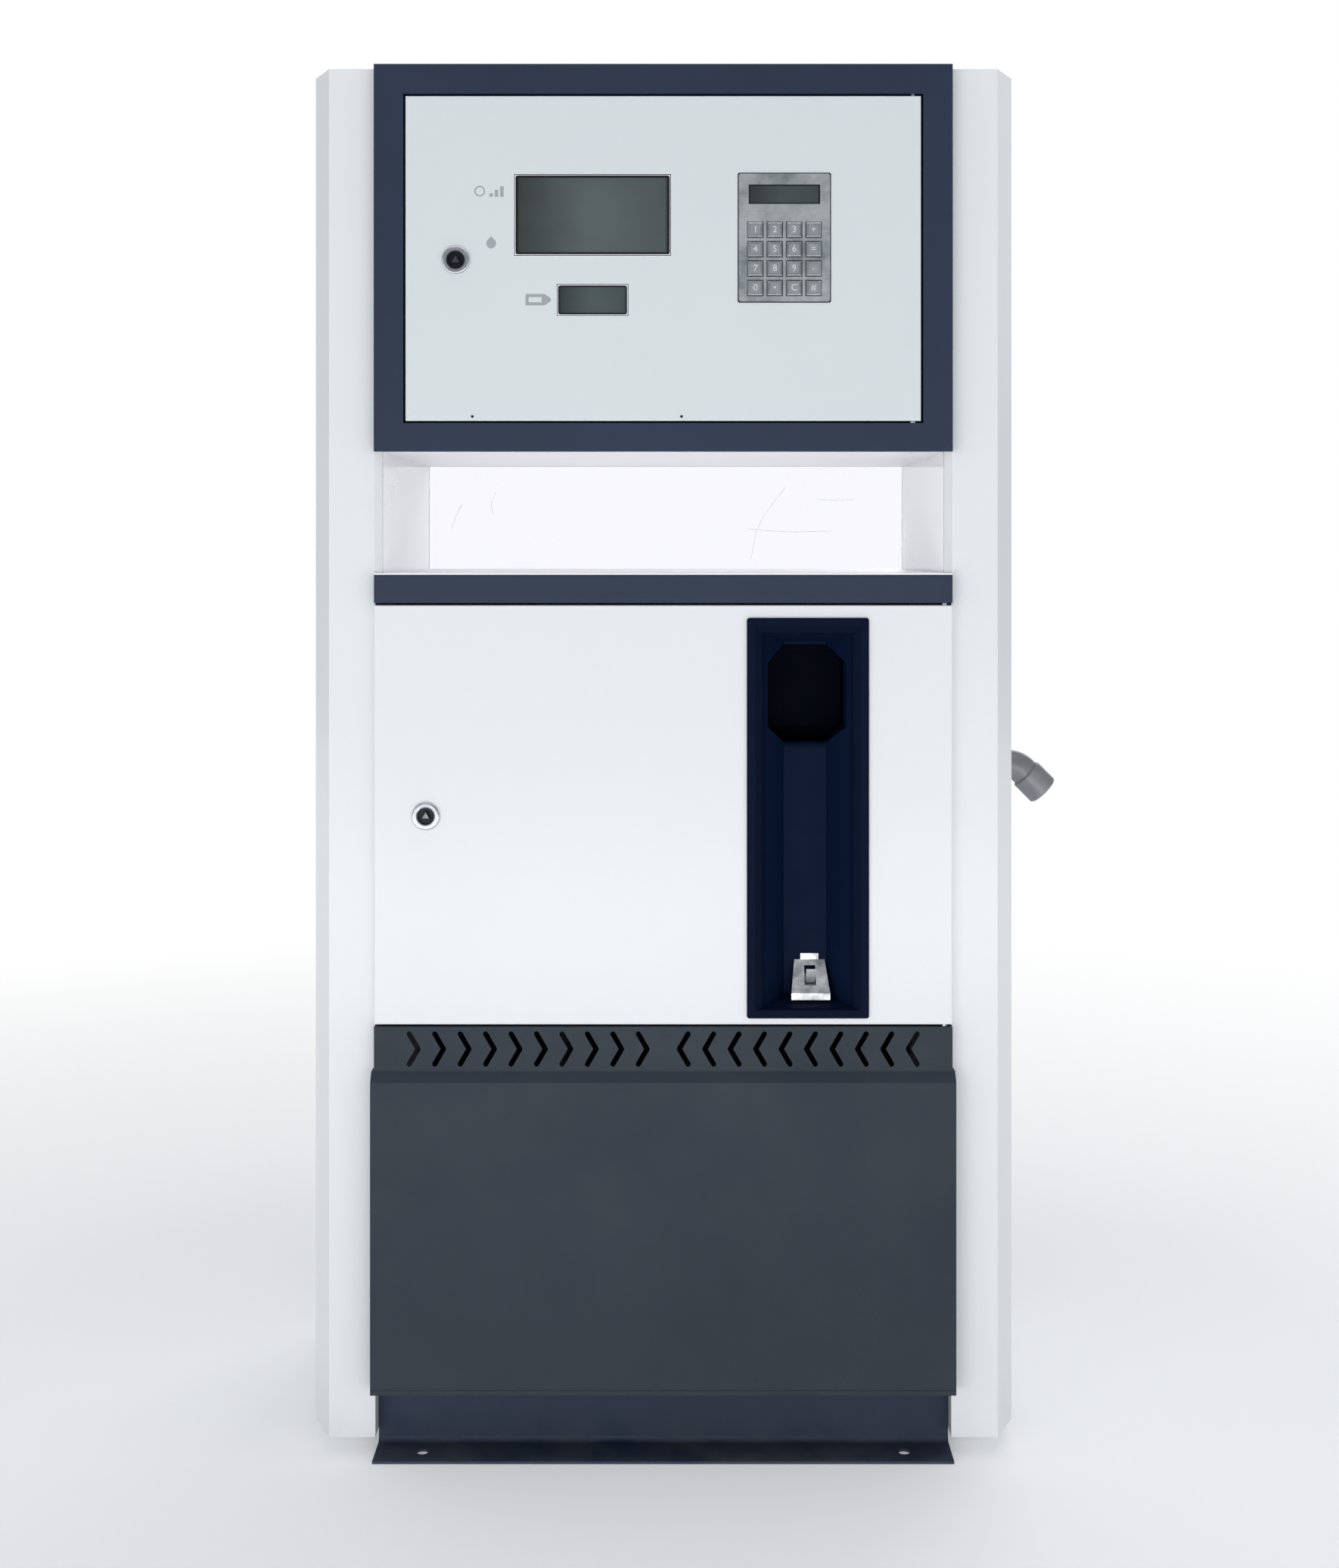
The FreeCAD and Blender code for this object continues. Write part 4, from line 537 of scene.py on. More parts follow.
TAG_LOW = (-0.158, PRINT_FACE, 1.3225)
TAG_HIGH = (-0.136, PRINT_BACK, 1.3355)
TAG_NOSE = 0.007
TAG_LINE = 0.0035
tag = place_box("price_mark_tag", TAG_LOW, TAG_HIGH)
pick_faces(tag, lambda middle, normal: normal.x > 0.9)
bpy.ops.mesh.extrude_region_move(TRANSFORM_OT_translate={"value": (TAG_NOSE, 0, 0)})
bpy.ops.transform.resize(value=(1, 1, 0.25),
                         center_override=(TAG_HIGH[0], PRINT_FACE, (TAG_LOW[2] + TAG_HIGH[2]) / 2))
pick_faces(tag, lambda middle, normal: abs(normal.y) > 0.9 and middle.x < TAG_HIGH[0])
bpy.ops.mesh.inset(thickness=TAG_LINE, depth=0)
bpy.ops.mesh.bridge_edge_loops()
print_mark(leave_edit(tag))

# ---- Keypad plate and keys
# A stainless plate set in the door skin with sixteen pressed stainless keys. The plate is mottled from
# handling; the keys have framed faces with etched white figures.
brushed_metal, given, place = new_group(
    "brushed_metal",
    [("Colour", COLOUR, (0.5, 0.52, 0.53, 1)), ("Shade", COLOUR, (0.3, 0.32, 0.33, 1)),
     ("Stretch X", NUMBER, 12.0), ("Stretch Z", NUMBER, 900.0), ("Mottle Scale", NUMBER, 14.0),
     ("Gloss Low", NUMBER, 0.22), ("Gloss High", NUMBER, 0.42)])
stretch = add_node(brushed_metal, "ShaderNodeCombineXYZ",
                   {"X": given["Stretch X"], "Y": 300.0, "Z": given["Stretch Z"]})
drawn = add_node(brushed_metal, "ShaderNodeVectorMath", {0: place, 1: stretch.outputs[0]},
                 operation="MULTIPLY")
brush = noise(brushed_metal, drawn.outputs[0], 3.0, 3.0, 0.6)
mottle = spread(brushed_metal, noise(brushed_metal, place, given["Mottle Scale"], 4.0, 0.6), 0.34, 0.66)
marks = sums(brushed_metal, "ADD", sums(brushed_metal, "MULTIPLY", mottle, 0.7),
             sums(brushed_metal, "MULTIPLY", brush, 0.5))
share = spread(brushed_metal, marks, 0.15, 1.0)
add_node(brushed_metal, "NodeGroupOutput",
         {"Colour": blend_colour(brushed_metal, share, given["Colour"], given["Shade"]),
          "Roughness": spread(brushed_metal, share, 0.0, 1.0, given["Gloss Low"], given["Gloss High"]),
          "Height": brush})


def metal(name, colour, shade, mottle_scale, gloss, stretch_x=12.0, stretch_z=900.0, bump=0.06, metallic=1.0):
    """Bare or plated metal of one colour."""
    values = {"Colour": colour, "Shade": shade, "Mottle Scale": mottle_scale, "Gloss Low": gloss[0],
              "Gloss High": gloss[1], "Stretch X": stretch_x, "Stretch Z": stretch_z}
    return finish_with(name, brushed_metal, values, bump, {"Metallic": metallic})


plate_steel = metal("handled_stainless", tone(222, 226, 228), tone(134, 142, 145), mottle_scale=24.0,
                    gloss=(0.32, 0.5))
key_steel = metal("key_stainless", tone(216, 220, 223), tone(186, 192, 196), mottle_scale=60.0,
                  gloss=(0.2, 0.3))
frame_steel = metal("key_rim_stainless", tone(170, 175, 179), tone(130, 136, 140), mottle_scale=60.0,
                    gloss=(0.3, 0.42))
etched_white = paint("etched_white", tone(214, 219, 220), tone(202, 208, 210), tone(160, 160, 158),
                     mottle=0.4, grain=900.0, gloss=(0.4, 0.5), dust_height=0.2, bump=0.02)
PLATE_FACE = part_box("keypad_bezel")[0].y
LCD_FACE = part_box("keypad_display")[0].y
PLATE_REACH = 0.0012
dress(plate_steel, "keypad_bezel")
outline = ring_inside("keypad_gasket", "keypad_bezel", lap=-PLATE_REACH, front=DOOR_FACE - 0.0004,
                      back=DOOR_FACE + 0.0001, band=0.0030, corner_radius=0.0022)
put(outline, moulded_black, "head_door")
lining = ring_inside("keypad_display_gasket", "keypad_display", lap=KEYPAD_LAP,
                     front=PLATE_FACE + GASKET_BACK, back=LCD_FACE, band=0.0012, corner_radius=0.0006)
put(lining, moulded_black, "head_door")

FIGURE_HEIGHT = 0.0105
FIGURE_FILM = 0.00012
KEY_FACE_RIM = 0.0031
KEY_FRAME_BAND = 0.0008
KEY_FRAME_RISE = 0.0002
# The thin black rings round the keys are painted shade in the gaps round them.
SHADE_RING_IN = 0.0004
SHADE_RING_BAND = 0.0006
SHADE_RING_RISE = 0.0003
SHADE_RING_SINK = 0.0001
WELD_REACH = 0.000002


def etched_figure(name, text, middle):
    """Thin raised figure that faces the front."""
    bpy.ops.object.select_all(action="DESELECT")
    bpy.ops.object.text_add(location=middle, rotation=(math.radians(90), 0, 0))
    figure = bpy.context.object
    figure.name = name
    figure.data.body = text
    figure.data.size = FIGURE_HEIGHT
    figure.data.align_x = "CENTER"
    figure.data.align_y = "CENTER"
    figure.data.extrude = FIGURE_FILM
    figure.data.resolution_u = 3
    bpy.ops.object.convert(target="MESH")
    bpy.ops.object.transform_apply(location=True, rotation=True, scale=True)
    bpy.ops.object.mode_set(mode="EDIT")
    bpy.ops.mesh.select_all(action="SELECT")
    bpy.ops.mesh.remove_doubles(threshold=WELD_REACH)
    return leave_edit(figure)


def copies(pattern, shifts):
    """A finished shape and its copies, each with its own mesh; the shifts are from the first one."""
    pieces = [pattern]
    for name, shift in shifts.items():
        bpy.ops.object.select_all(action="DESELECT")
        pattern.select_set(True)
        bpy.context.view_layer.objects.active = pattern
        bpy.ops.object.duplicate()
        bpy.ops.transform.translate(value=shift)
        bpy.ops.object.transform_apply(location=True, rotation=True, scale=True)
        bpy.context.object.name = name
        pieces.append(bpy.context.object)
    return pieces


keys = [f"key_{number:02d}" for number in range(1, 17)]
first_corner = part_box("key_01")[0]
key_shifts = {key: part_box(key)[0] - first_corner for key in keys[1:]}
rim = ring_inside("key_01_frame", "key_01", lap=KEY_FACE_RIM, front=first_corner.y - KEY_FRAME_RISE,
                  back=first_corner.y + KEY_FRAME_RISE, band=KEY_FRAME_BAND)
# A thin black ring round each key's hole in the plate: painted shade.
shade_ring = ring_inside("key_01_well", "key_01", lap=SHADE_RING_IN, front=PLATE_FACE - SHADE_RING_RISE,
                   back=PLATE_FACE + SHADE_RING_SINK, band=SHADE_RING_BAND)
rims = copies(rim, {f"{key}_frame": shift for key, shift in key_shifts.items()})
shade_rings = copies(shade_ring, {f"{key}_well": shift for key, shift in key_shifts.items()})
for key, legend, rim, shade_ring in zip(keys, "123+456=789-0\u2022C#", rims, shade_rings):
    dress(key_steel, key)
    low_corner, high_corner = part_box(key)
    middle = ((low_corner.x + high_corner.x) / 2, low_corner.y, (low_corner.z + high_corner.z) / 2)
    put(etched_figure(f"{key}_legend", legend, middle), etched_white, key)
    put(rim, frame_steel, key)
    # Painted shade ring on the door skin round the key.
    put(shade_ring, moulded_black, "head_door")

# ---- Cam locks
# Two chrome-ringed cam locks with a black cup and a triangular key stud, one in each door; the cam
# behind turns with the stud.
def soften(block, width, segments=2):
    """Rounds every edge of a piece a little."""
    bpy.ops.object.select_all(action="DESELECT")
    block.select_set(True)
    bpy.context.view_layer.objects.active = block
    rounding = block.modifiers.new("round", "BEVEL")
    rounding.width = width
    rounding.segments = segments
    rounding.limit_method = "ANGLE"
    bpy.ops.object.modifier_apply(modifier=rounding.name)
    return block


bright_chrome = metal("bright_chrome", tone(222, 224, 228), tone(180, 184, 190), mottle_scale=40.0,
                      gloss=(0.06, 0.14), stretch_x=300.0, stretch_z=300.0, bump=0.02)
dark_chrome = metal("dark_chrome", tone(120, 123, 130), tone(70, 73, 80), mottle_scale=90.0,
                    gloss=(0.14, 0.24), stretch_x=300.0, stretch_z=300.0, bump=0.02)
CUP_R = 0.0107
CUP_RIM = 0.0009
STUD_R = 0.0052
CAP_THICK = 0.0006
CUP_PROUD = 0.0004
STUD_PROUD = 0.0005
low_corner, high_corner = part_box("head_lock_body")
lock_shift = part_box("cabinet_lock_body")[0] - low_corner
lock_x = (low_corner.x + high_corner.x) / 2
lock_z = (low_corner.z + high_corner.z) / 2
core_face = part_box("head_lock_core")[0].y
cup_ring = place_rod("head_lock_cup_ring", (lock_x, core_face - CUP_PROUD, lock_z), "Y", radius=CUP_R,
                     length=CAP_THICK)
cup_rings = copies(hollow(cup_ring, CUP_RIM), {"cabinet_lock_cup_ring": lock_shift})
stud_cap = place_rod("head_lock_stud_cap", (lock_x, core_face - STUD_PROUD, lock_z), "Y", radius=STUD_R,
                     length=CAP_THICK, corners=3)
stud_caps = copies(soften(stud_cap, CAP_THICK / 2, 1), {"cabinet_lock_stud_cap": lock_shift})
for door, lock, cup_ring, stud_cap in zip(("head_door", "cabinet_door"), ("head_lock", "cabinet_lock"),
                                          cup_rings, stud_caps):
    dress(bright_chrome, f"{lock}_body")
    dress(moulded_black, f"{lock}_core")
    put(cup_ring, dark_chrome, door, 40)
    put(stud_cap, dark_chrome, lock)

# ---- Nozzle boot, hook and switch
# A vacuum-formed dark liner sunk in the cabinet door: a long tapered channel with a deep pocket above
# for the spout. The nozzle's hook is folded stainless plate, with the switch lever through its slot.
moulded_boot, given, place = new_group(
    "moulded_boot",
    [("Rim", COLOUR, (0.01, 0.02, 0.04, 1)), ("Wall", COLOUR, (0.01, 0.02, 0.04, 1)),
     ("Deep Painted Shade", COLOUR, (0, 0, 0.01, 1)), ("Face", NUMBER, -0.23), ("Back", NUMBER, -0.12)])
# Painted light and shade by depth: the walls are a little lighter than the rim, and the colour darkens deep
# in the pocket. The smudges are real grime.
painted_shade_depth = spread(moulded_boot, axes_of(moulded_boot, place)["Y"], given["Face"], given["Back"])
grime = noise(moulded_boot, place, 22.0, 4.0, 0.6)
rim_to_wall_shade = blend_colour(moulded_boot, spread(moulded_boot, painted_shade_depth, 0.02, 0.12), given["Rim"], given["Wall"])
lining = blend_colour(moulded_boot, spread(moulded_boot, painted_shade_depth, 0.45, 0.75), rim_to_wall_shade, given["Deep Painted Shade"])
smudge = spread(moulded_boot, grime, 0.45, 0.8, 0.0, 0.15)
lining = blend_colour(moulded_boot, smudge, lining, tone(24, 36, 58))
add_node(moulded_boot, "NodeGroupOutput",
         {"Colour": lining, "Roughness": spread(moulded_boot, grime, 0.3, 0.7, 0.4, 0.6),
          "Height": noise(moulded_boot, place, 700.0, 2.0)})
# The rim, wall and deep colours are painted light and shade, graded by depth into the door.
boot_shade_colours = {"Rim": tone(9, 20, 42), "Wall": tone(15, 30, 58), "Deep Painted Shade": tone(0, 3, 20)}
boot_plastic = finish_with("boot_plastic", moulded_boot, boot_shade_colours, 0.12, {"Specular IOR Level": 0.04})
hook_steel = metal("hook_stainless", tone(214, 216, 218), tone(150, 152, 156), mottle_scale=60.0,
                   gloss=(0.2, 0.38), stretch_x=900.0, stretch_z=20.0)
lever_nickel = metal("lever_nickel", tone(226, 228, 230), tone(190, 192, 196), mottle_scale=90.0,
                     gloss=(0.3, 0.42), stretch_x=300.0, stretch_z=300.0, metallic=0.45)
dress(boot_plastic, "nozzle_boot")
dress(moulded_black, "switch_housing")
dress(hook_steel, "nozzle_hook")
dress(lever_nickel, "switch_lever")

# ---- Rear covers, screws and hinge pins
# Flat screwed sheets close the cabinet and the head behind. Their pan-head screws and the doors' hinge
# pins are zinc plated.
bright_zinc = metal("bright_zinc", tone(190, 194, 200), tone(150, 156, 160), mottle_scale=120.0,
                    gloss=(0.25, 0.4), stretch_x=200.0, stretch_z=200.0)
dress(bright_zinc, "panel_screws", "hinge_pins", "delivery_pipes", "control_box")
dress(white_paint, "rear_cabinet_cover")

# ---- Pump, motor and drive
# Cast-iron vane pump and a finned motor bolted to the plinth's bearers, joined by a rubber V-belt on
# two cast pulleys. Castings keep a sandy skin under thin paint, with oil stains low down.
cast_skin, given, place = new_group(
    "cast_skin",
    [("Colour", COLOUR, (0.2, 0.2, 0.2, 1)), ("Shade", COLOUR, (0.1, 0.1, 0.1, 1)),
     ("Grit Scale", NUMBER, 420.0), ("Gloss Low", NUMBER, 0.45), ("Gloss High", NUMBER, 0.7)])
grit = noise(cast_skin, place, given["Grit Scale"], 3.0, 0.6)
stain = spread(cast_skin, noise(cast_skin, place, 9.0, 5.0, 0.65), 0.35, 0.7)
share = sums(cast_skin, "ADD", sums(cast_skin, "MULTIPLY", stain, 0.6),
             sums(cast_skin, "MULTIPLY", grit, 0.35))
add_node(cast_skin, "NodeGroupOutput",
         {"Colour": blend_colour(cast_skin, share, given["Colour"], given["Shade"]),
          "Roughness": spread(cast_skin, stain, 0.0, 1.0, given["Gloss High"], given["Gloss Low"]),
          "Height": grit})


def casting(name, colour, shade, grit_scale, gloss, metallic, bump=0.5):
    """Sand or die casting of one colour."""
    values = {"Colour": colour, "Shade": shade, "Grit Scale": grit_scale, "Gloss Low": gloss[0],
              "Gloss High": gloss[1]}
    return finish_with(name, cast_skin, values, bump, {"Metallic": metallic})


cast_iron = casting("cast_iron", tone(92, 94, 96), tone(54, 54, 54), grit_scale=380.0, gloss=(0.4, 0.7),
                    metallic=0.3)
machine_blue = casting("machine_paint", tone(58, 84, 116), tone(38, 56, 82), grit_scale=500.0,
                       gloss=(0.35, 0.55), metallic=0.0, bump=0.2)
die_cast = casting("die_cast_aluminium", tone(150, 152, 155), tone(112, 114, 118), grit_scale=700.0,
                   gloss=(0.32, 0.5), metallic=0.55, bump=0.3)
brass = casting("forged_brass", tone(186, 150, 84), tone(132, 100, 52), grit_scale=600.0, gloss=(0.3, 0.45),
                metallic=0.9, bump=0.2)
belt_rubber = casting("belt_rubber", tone(34, 34, 36), tone(20, 20, 21), grit_scale=900.0, gloss=(0.6, 0.8),
                      metallic=0.0, bump=0.3)
dress(cast_iron, "pump_unit", "pump_pulley", "motor_pulley", "suction_pipe")
dress(machine_blue, "motor")
dress(belt_rubber, "drive_belt")
dress(die_cast, "flow_meter", "junction_box")
dress(brass, "solenoid_valve")

# ---- Hose outlet
# A die-cast elbow on the right post turns down to a swivelling hose nut, both in bead-blasted
# aluminium.
outlet_cast = casting("outlet_aluminium", tone(154, 155, 160), tone(94, 95, 100), grit_scale=900.0,
                      gloss=(0.34, 0.46), metallic=0.3, bump=0.25)
dress(outlet_cast, "outlet_elbow", "outlet_nut")

# ---- Motor fins and cowl
# Thin cooling fins are cast along the motor's back, and a pressed cowl with ringed slots covers its
# fan. Both are painted with the motor.
low_corner, high_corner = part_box("motor_pulley")
MOTOR_X = (low_corner.x + high_corner.x) / 2
MOTOR_Z = (low_corner.z + high_corner.z) / 2
MOTOR_AXIS = (MOTOR_X, 0, MOTOR_Z)
MOTOR_R = 0.080
FIN_THICK = 0.0024
FIN_TALL = 0.006
FIN_ROOT = 0.004
FIN_COUNT = 25
FIN_FAN = math.radians(240)
fins = place_box("motor_fins", (MOTOR_X - FIN_THICK / 2, -0.062, MOTOR_Z + MOTOR_R - FIN_ROOT),
                 (MOTOR_X + FIN_THICK / 2, 0.094, MOTOR_Z + MOTOR_R + FIN_TALL))
bpy.ops.object.mode_set(mode="EDIT")
bpy.ops.mesh.select_all(action="SELECT")
bpy.ops.mesh.spin(steps=FIN_COUNT - 1, dupli=True, angle=-FIN_FAN, center=MOTOR_AXIS, axis=(0, 1, 0))
bpy.ops.mesh.select_all(action="SELECT")
bpy.ops.transform.rotate(value=-FIN_FAN / 2, orient_axis="Y", orient_type="GLOBAL",
                         center_override=MOTOR_AXIS)
put(leave_edit(fins), machine_blue, "root")

COWL_R = 0.0855
COWL_START = 0.096
COWL_LONG = 0.030
SLOT_DEEP = 0.003
cowl = place_rod("motor_fan_cowl", (MOTOR_X, COWL_START, MOTOR_Z), "Y", radius=COWL_R, length=COWL_LONG,
                 corners=64)
pick_faces(cowl, lambda middle, normal: normal.y > 0.9)
for _ in range(3):
    bpy.ops.mesh.inset(thickness=0.010, depth=0)
    bpy.ops.mesh.inset(thickness=0.004, depth=-SLOT_DEEP)
    bpy.ops.mesh.inset(thickness=0.003, depth=0)
    bpy.ops.mesh.inset(thickness=0.004, depth=SLOT_DEEP)
put(soften(leave_edit(cowl), 0.001), machine_blue, "root", 35)


# ---- Cover bolts and clamp ring
# Zinc-plated hexagon bolts hold the covers of the pump, its strainer, the meter and its pulser, and a
# cast clamp ring joins the meter's halves.
def put_zinc(piece, smooth=None):
    """Zinc-plated fixing on the fixed frame and its machines."""
    put(piece, bright_zinc, "root", smooth)


def bolt_ring(name, middle, axis, ring_radius, count, across, tall):
    """Hexagon bolt heads evenly round a circle; one mesh, each head closed."""
    start = list(middle)
    start[0 if axis == "Z" else 2] += ring_radius
    heads = place_rod(name, start, axis, radius=across / 2, length=tall, corners=6)
    bpy.ops.object.mode_set(mode="EDIT")
    bpy.ops.mesh.select_all(action="SELECT")
    bpy.ops.mesh.spin(steps=count - 1, dupli=True, angle=2 * math.pi * (count - 1) / count,
                      center=middle, axis=[float(axis == letter) for letter in "XYZ"])
    return soften(leave_edit(heads), 0.0006, 1)


low_corner, high_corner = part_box("pump_pulley")
PUMP_X = (low_corner.x + high_corner.x) / 2
PUMP_Z = (low_corner.z + high_corner.z) / 2
PUMP_COVER = -0.0905
STRAINER_COVER = -0.2390
STRAINER_Z = 0.125
CLAMP_Z = 0.806
CLAMP_R = 0.0705
METER_COVER = 0.8175
PULSER_TOP = 0.8915
put_zinc(bolt_ring("pump_cover_bolts", (PUMP_X, PUMP_COVER, PUMP_Z), "Y", ring_radius=0.074, count=8,
                   across=0.013, tall=0.006))
put_zinc(bolt_ring("strainer_bolts", (STRAINER_COVER, 0.0, STRAINER_Z), "X", ring_radius=0.026, count=4,
                   across=0.010, tall=0.0055))
clamp = place_rod("meter_clamp_ring", (PUMP_X, 0.0, CLAMP_Z), "Z", radius=CLAMP_R, length=0.012, corners=72)
put(soften(clamp, 0.0015), die_cast, "root", 35)
put_zinc(bolt_ring("meter_bolts", (PUMP_X, 0.0, METER_COVER), "Z", ring_radius=0.0668, count=8,
                   across=0.0075, tall=0.006))
put_zinc(bolt_ring("pulser_screws", (PUMP_X, 0.0, PULSER_TOP), "Z", ring_radius=0.034, count=4, across=0.007,
                   tall=0.003))

# ---- Union nuts
# Zinc-plated hexagon union nuts join the pipes to the pump, the meter, the valve and the outlet, and a
# small nut holds the valve's coil.
UNION_R = 0.0265
UNION_LONG = 0.022
PIPE_Z = 0.772
UNION_EDGE = 0.0018
riser_nut = place_rod("pump_union", (PUMP_X, 0, 0.350), "Z", radius=UNION_R, length=UNION_LONG, corners=6)
riser_nuts = copies(soften(riser_nut, UNION_EDGE), {"meter_union": (0, 0, 0.330)})
cross_nut = place_rod("meter_side_union", (-0.042, 0, PIPE_Z), "X", radius=UNION_R, length=UNION_LONG,
                      corners=6)
cross_nuts = copies(soften(cross_nut, UNION_EDGE),
                    {"valve_in_union": (0.078, 0, 0), "valve_out_union": (0.184, 0, 0),
                     "outlet_union": (0.334, 0, 0)})
for nut in riser_nuts + cross_nuts:
    put_zinc(nut, 35)
coil_nut = place_rod("valve_coil_nut", (0.100, 0, 0.8695), "Z", radius=0.009, length=0.007, corners=6)
put_zinc(soften(coil_nut, 0.0006, 1))


# ---- Conduits and glands
# Black plastic conduits carry the wires from the junction box to the motor, the valve and the pulser.
# They are clipped in place, and the motor's enters through a screwed gland.
def conduit(name, points, radius, material):
    """Round conduit along smooth points, made solid with closed ends."""
    bpy.ops.object.select_all(action="DESELECT")
    bpy.ops.curve.primitive_bezier_curve_add(location=(0, 0, 0))
    run = bpy.context.object
    run.name = name
    path = run.data
    path.bevel_depth = radius
    path.bevel_resolution = 4
    path.resolution_u = 10
    path.use_fill_caps = True
    line = path.splines[0]
    line.bezier_points.add(len(points) - 2)
    for knot, spot in zip(line.bezier_points, points):
        knot.co = spot
        knot.handle_left_type = "AUTO"
        knot.handle_right_type = "AUTO"
    bpy.ops.object.convert(target="MESH")
    bpy.ops.object.mode_set(mode="EDIT")
    bpy.ops.mesh.select_all(action="SELECT")
    bpy.ops.mesh.remove_doubles(threshold=0.00001)
    put(leave_edit(bpy.context.object), material, "root", 40)


conduit_black = paint("conduit_black", tone(30, 31, 33), tone(18, 19, 21), tone(90, 90, 88), mottle=0.6,
                      grain=1200.0, gloss=(0.45, 0.6), dust_height=0.2, bump=0.1, specular=0.3)
GLAND = (0.2215, 0.015, 0.196)
conduit("motor_conduit", [(0.2875, 0.120, 0.524), (0.292, 0.122, 0.42), (0.280, 0.100, 0.28),
                          (0.225, 0.030, 0.22), (0.2215, 0.016, 0.196), (0.2215, 0.015, 0.185)],
        0.0075, conduit_black)
conduit("valve_conduit", [(0.250, 0.118, 0.655), (0.215, 0.105, 0.700), (0.150, 0.060, 0.800),
                          (0.128, 0.020, 0.838), (0.118, 0.004, 0.842)], 0.0055, conduit_black)
conduit("pulser_conduit", [(0.250, 0.150, 0.672), (0.180, 0.160, 0.760), (0.020, 0.120, 0.880),
                           (-0.070, 0.030, 0.868), (-0.084, 0.010, 0.864)], 0.0055, conduit_black)
put_zinc(soften(place_rod("motor_gland", GLAND, "Z", radius=0.0125, length=0.016, corners=6), 0.001))
low_corner, high_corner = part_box("junction_box")
junction_middle = (low_corner.x - 0.0035, (low_corner.y + high_corner.y) / 2,
                   (low_corner.z + high_corner.z) / 2)
put_zinc(bolt_ring("junction_cover_screws", junction_middle, "X", ring_radius=0.054, count=4, across=0.008,
                   tall=0.004))

# ---- Door seals
# Soft black rubber strips stuck on the rebates that the doors close against. They fill most of the
# gap behind the folded door edges.
seal_rubber = casting("seal_rubber", tone(30, 30, 32), tone(20, 20, 22), grit_scale=700.0, gloss=(0.6, 0.78),
                      metallic=0.0, bump=0.2)
REBATE = -0.208
SEAL_THICK = 0.004
SEAL_WIDE = 0.010
head_seal = ring_inside("head_door_seal", "head_door", lap=-0.0005, front=REBATE - SEAL_THICK, back=REBATE,
                        band=SEAL_WIDE)
put(soften(head_seal, 0.0012), seal_rubber, "root", 40)
STRIP_WIDE = 0.011
STRIP_SIDE = 0.006
STRIP_END = 0.0045
low_corner, high_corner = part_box("cabinet_door")
strip_left = low_corner.x + STRIP_SIDE
strip = place_box("cabinet_seal_left", (strip_left, REBATE - SEAL_THICK, low_corner.z + STRIP_END),
                  (strip_left + STRIP_WIDE, REBATE, high_corner.z - STRIP_END))
strips = copies(soften(strip, 0.0015), {"cabinet_seal_right": (-2 * strip_left - STRIP_WIDE, 0, 0)})
for strip in strips:
    put(strip, seal_rubber, "root", 40)

# ---- Display electronics
# The boards behind the readings carry a few black chips, a socket row and electrolytic capacitors,
# soldered to their rear faces.
BOARD_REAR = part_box("display_boards")[1].y - 0.0001
SOLDER_SINK = 0.0002
CHIP_DEEP = 0.0035
SOCKET_DEEP = 0.009
chip_black = paint("chip_black", tone(26, 27, 29), tone(18, 19, 21), tone(80, 80, 80), mottle=0.4,
                   grain=2000.0, gloss=(0.35, 0.5), dust_height=0.1, bump=0.05, specular=0.4)


def chip(name, x, z, wide, high, deep):
    """Moulded part on the rear of a board, with soft edges."""
    block = place_box(name, (x - wide / 2, BOARD_REAR - SOLDER_SINK, z - high / 2),
                      (x + wide / 2, BOARD_REAR + deep, z + high / 2))
    return soften(block, 0.0006, 1)


DRIVER_PITCH = 0.050
driver = chip("driver_chip_1", x=-0.130, z=1.430, wide=0.026, high=0.012, deep=CHIP_DEEP)
drivers = copies(driver, {"driver_chip_2": (DRIVER_PITCH, 0, 0), "driver_chip_3": (2 * DRIVER_PITCH, 0, 0)})
others = [chip("display_socket", x=-0.080, z=1.392, wide=0.060, high=0.009, deep=SOCKET_DEEP),
          chip("price_chip", x=-0.098, z=1.330, wide=0.022, high=0.010, deep=CHIP_DEEP),
          chip("price_socket", x=-0.060, z=1.330, wide=0.020, high=0.009, deep=SOCKET_DEEP)]
for block in drivers + others:
    put(block, chip_black, "head_door")
can = place_rod("capacitor_1", (-0.150, BOARD_REAR - SOLDER_SINK, 1.462), "Y", radius=0.005, length=0.012,
                corners=24)
for can in copies(soften(can, 0.0008), {"capacitor_2": (0.140, 0, 0)}):
    put(can, bright_zinc, "head_door", 40)

# ---- Head door rivets
# Two tiny dark blind rivets near the foot of the door skin hold a stiffener behind it.
RIVET_PITCH = 0.240
rivet = place_rod("head_door_rivet_1", (-0.219, DOOR_FACE - 0.0007, 1.195), "Y", radius=0.0016, length=0.001,
                  corners=20)
for rivet in copies(soften(rivet, 0.0003), {"head_door_rivet_2": (RIVET_PITCH, 0, 0)}):
    put(rivet, moulded_black, "head_door", 40)

# ---- Hems and pulley hubs
# The dark panels end in a flattened hem along the bottom edge. The cast pulleys are held on their
# shafts by a turned hub washer and a zinc-plated nut.
HEM_RISE = 0.0055
HEM_PROUD = 0.0009
HEM_THICK = 0.0019
HEM_GAP = 0.0002
low_corner, high_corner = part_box("lower_panel_front")
hem_left = low_corner.x + 0.0005
hem_foot = low_corner.z + HEM_GAP
hem_face = low_corner.y - HEM_PROUD
hem = place_box("front_panel_hem", (hem_left, hem_face, hem_foot),
                (-hem_left, hem_face + HEM_THICK, hem_foot + HEM_RISE))
for hem in copies(soften(hem, 0.0006), {"rear_panel_hem": (0, -2 * hem_face - HEM_THICK, 0)}):
    put(hem, slate_paint, "root", 40)

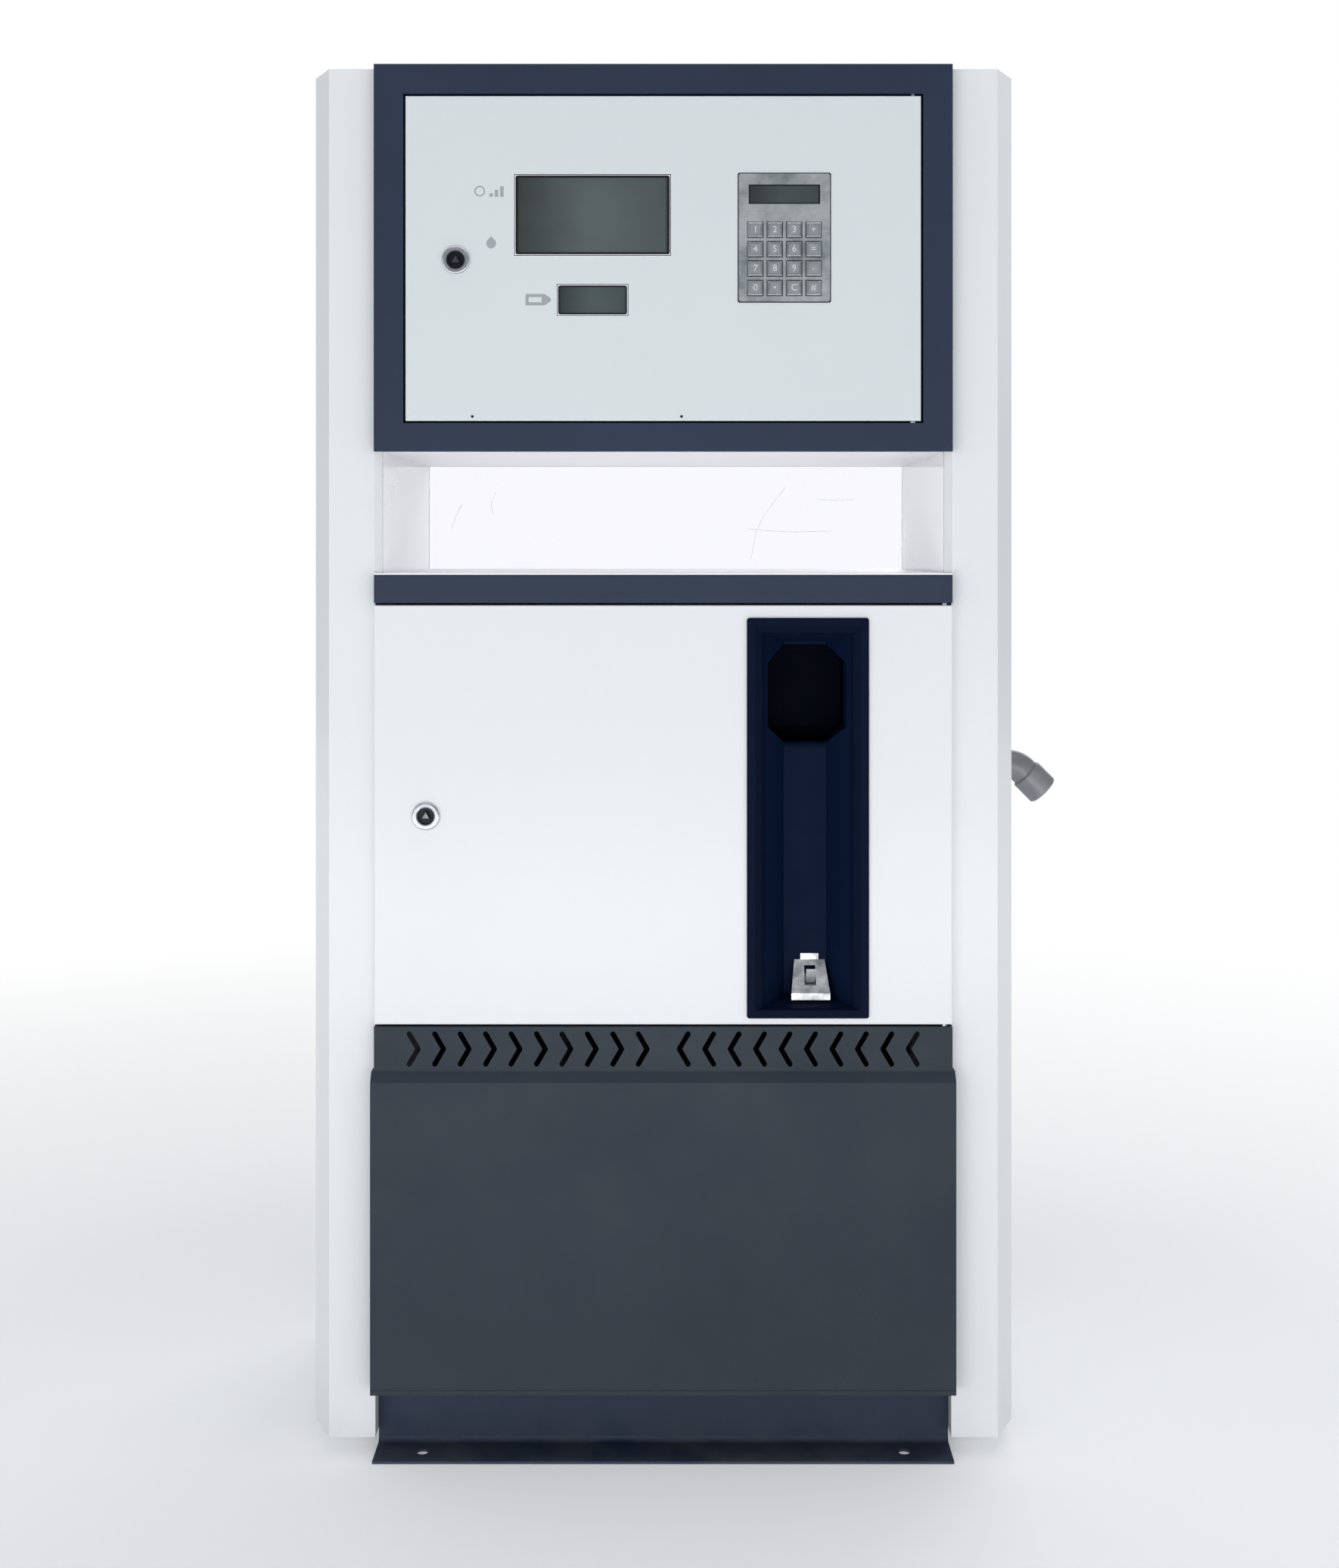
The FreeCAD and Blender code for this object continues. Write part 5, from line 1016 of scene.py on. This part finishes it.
WHEEL_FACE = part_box("pump_pulley")[0].y
WASHER_THICK = 0.003
NUT_THICK = 0.008
SHADE_DISC_FACE = WHEEL_FACE - 0.0006
for wheel, x, z, washer_r, nut_r in (("pump_wheel", PUMP_X, PUMP_Z, 0.034, 0.015),
                                     ("motor_wheel", MOTOR_X, MOTOR_Z, 0.021, 0.012)):
    washer = place_rod(f"{wheel}_washer", (x, WHEEL_FACE - 0.0025, z), "Y", radius=washer_r,
                       length=WASHER_THICK)
    put(soften(washer, 0.0006), cast_iron, wheel, 40)
    hub_nut = place_rod(f"{wheel}_nut", (x, WHEEL_FACE - 0.010, z), "Y", radius=nut_r, length=NUT_THICK,
                        corners=6)
    put(soften(hub_nut, 0.001), bright_zinc, wheel, 30)
# Black discs on the pump pulley's face: painted shade in place of its holes.
put(bolt_ring("pump_wheel_hole_shade", (PUMP_X, SHADE_DISC_FACE, PUMP_Z), "Y", ring_radius=0.062, count=5, across=0.030,
              tall=0.0012), moulded_black, "pump_wheel")

# ---- Small fixings
# Cap screws hold the outlet's flange to the post, and the control box carries a black terminal strip
# along its foot.
FLANGE_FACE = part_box("outlet_elbow")[0].x + 0.0037
put_zinc(bolt_ring("outlet_flange_screws", (FLANGE_FACE, 0, PIPE_Z), "X", ring_radius=0.0210, count=4,
                   across=0.0052, tall=0.0022))
terminals = place_box("control_terminals", (-0.225, 0.066, 1.176), (-0.055, 0.0805, 1.198))
pick_faces(terminals, lambda middle, normal: normal.y < -0.9)
bpy.ops.mesh.subdivide(number_cuts=9)
bpy.ops.mesh.inset(thickness=0.0012, depth=-0.002, use_individual=True)
put(leave_edit(terminals), chip_black, "root")

# ---- Scratches on the rear clear sheet
# The window has been wiped for years: one long curved scratch and a few short ones catch the light on
# the rear sheet's inner face.
scratch_grey = paint("scratch_grey", tone(206, 208, 214), tone(196, 198, 206), tone(206, 208, 214),
                     mottle=0.3, grain=900.0, gloss=(0.5, 0.6), dust_height=0.1, bump=0.0, specular=0.3)
SCRATCH_R = 0.00022
SCRATCH_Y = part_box("window_faces")[1].y - 0.0031
for number, marks in enumerate((((0.116, 1.028), (0.128, 1.076), (0.164, 1.128)),
                                ((0.112, 1.070), (0.165, 1.066), (0.226, 1.067)),
                                ((0.205, 1.110), (0.232, 1.109), (0.256, 1.110)),
                                ((-0.232, 1.120), (-0.238, 1.104), (-0.236, 1.090)),
                                ((-0.292, 1.070), (-0.286, 1.088), (-0.278, 1.104))), start=1):
    conduit(f"window_scratch_{number}", [(x, SCRATCH_Y, z) for x, z in marks], SCRATCH_R, scratch_grey)
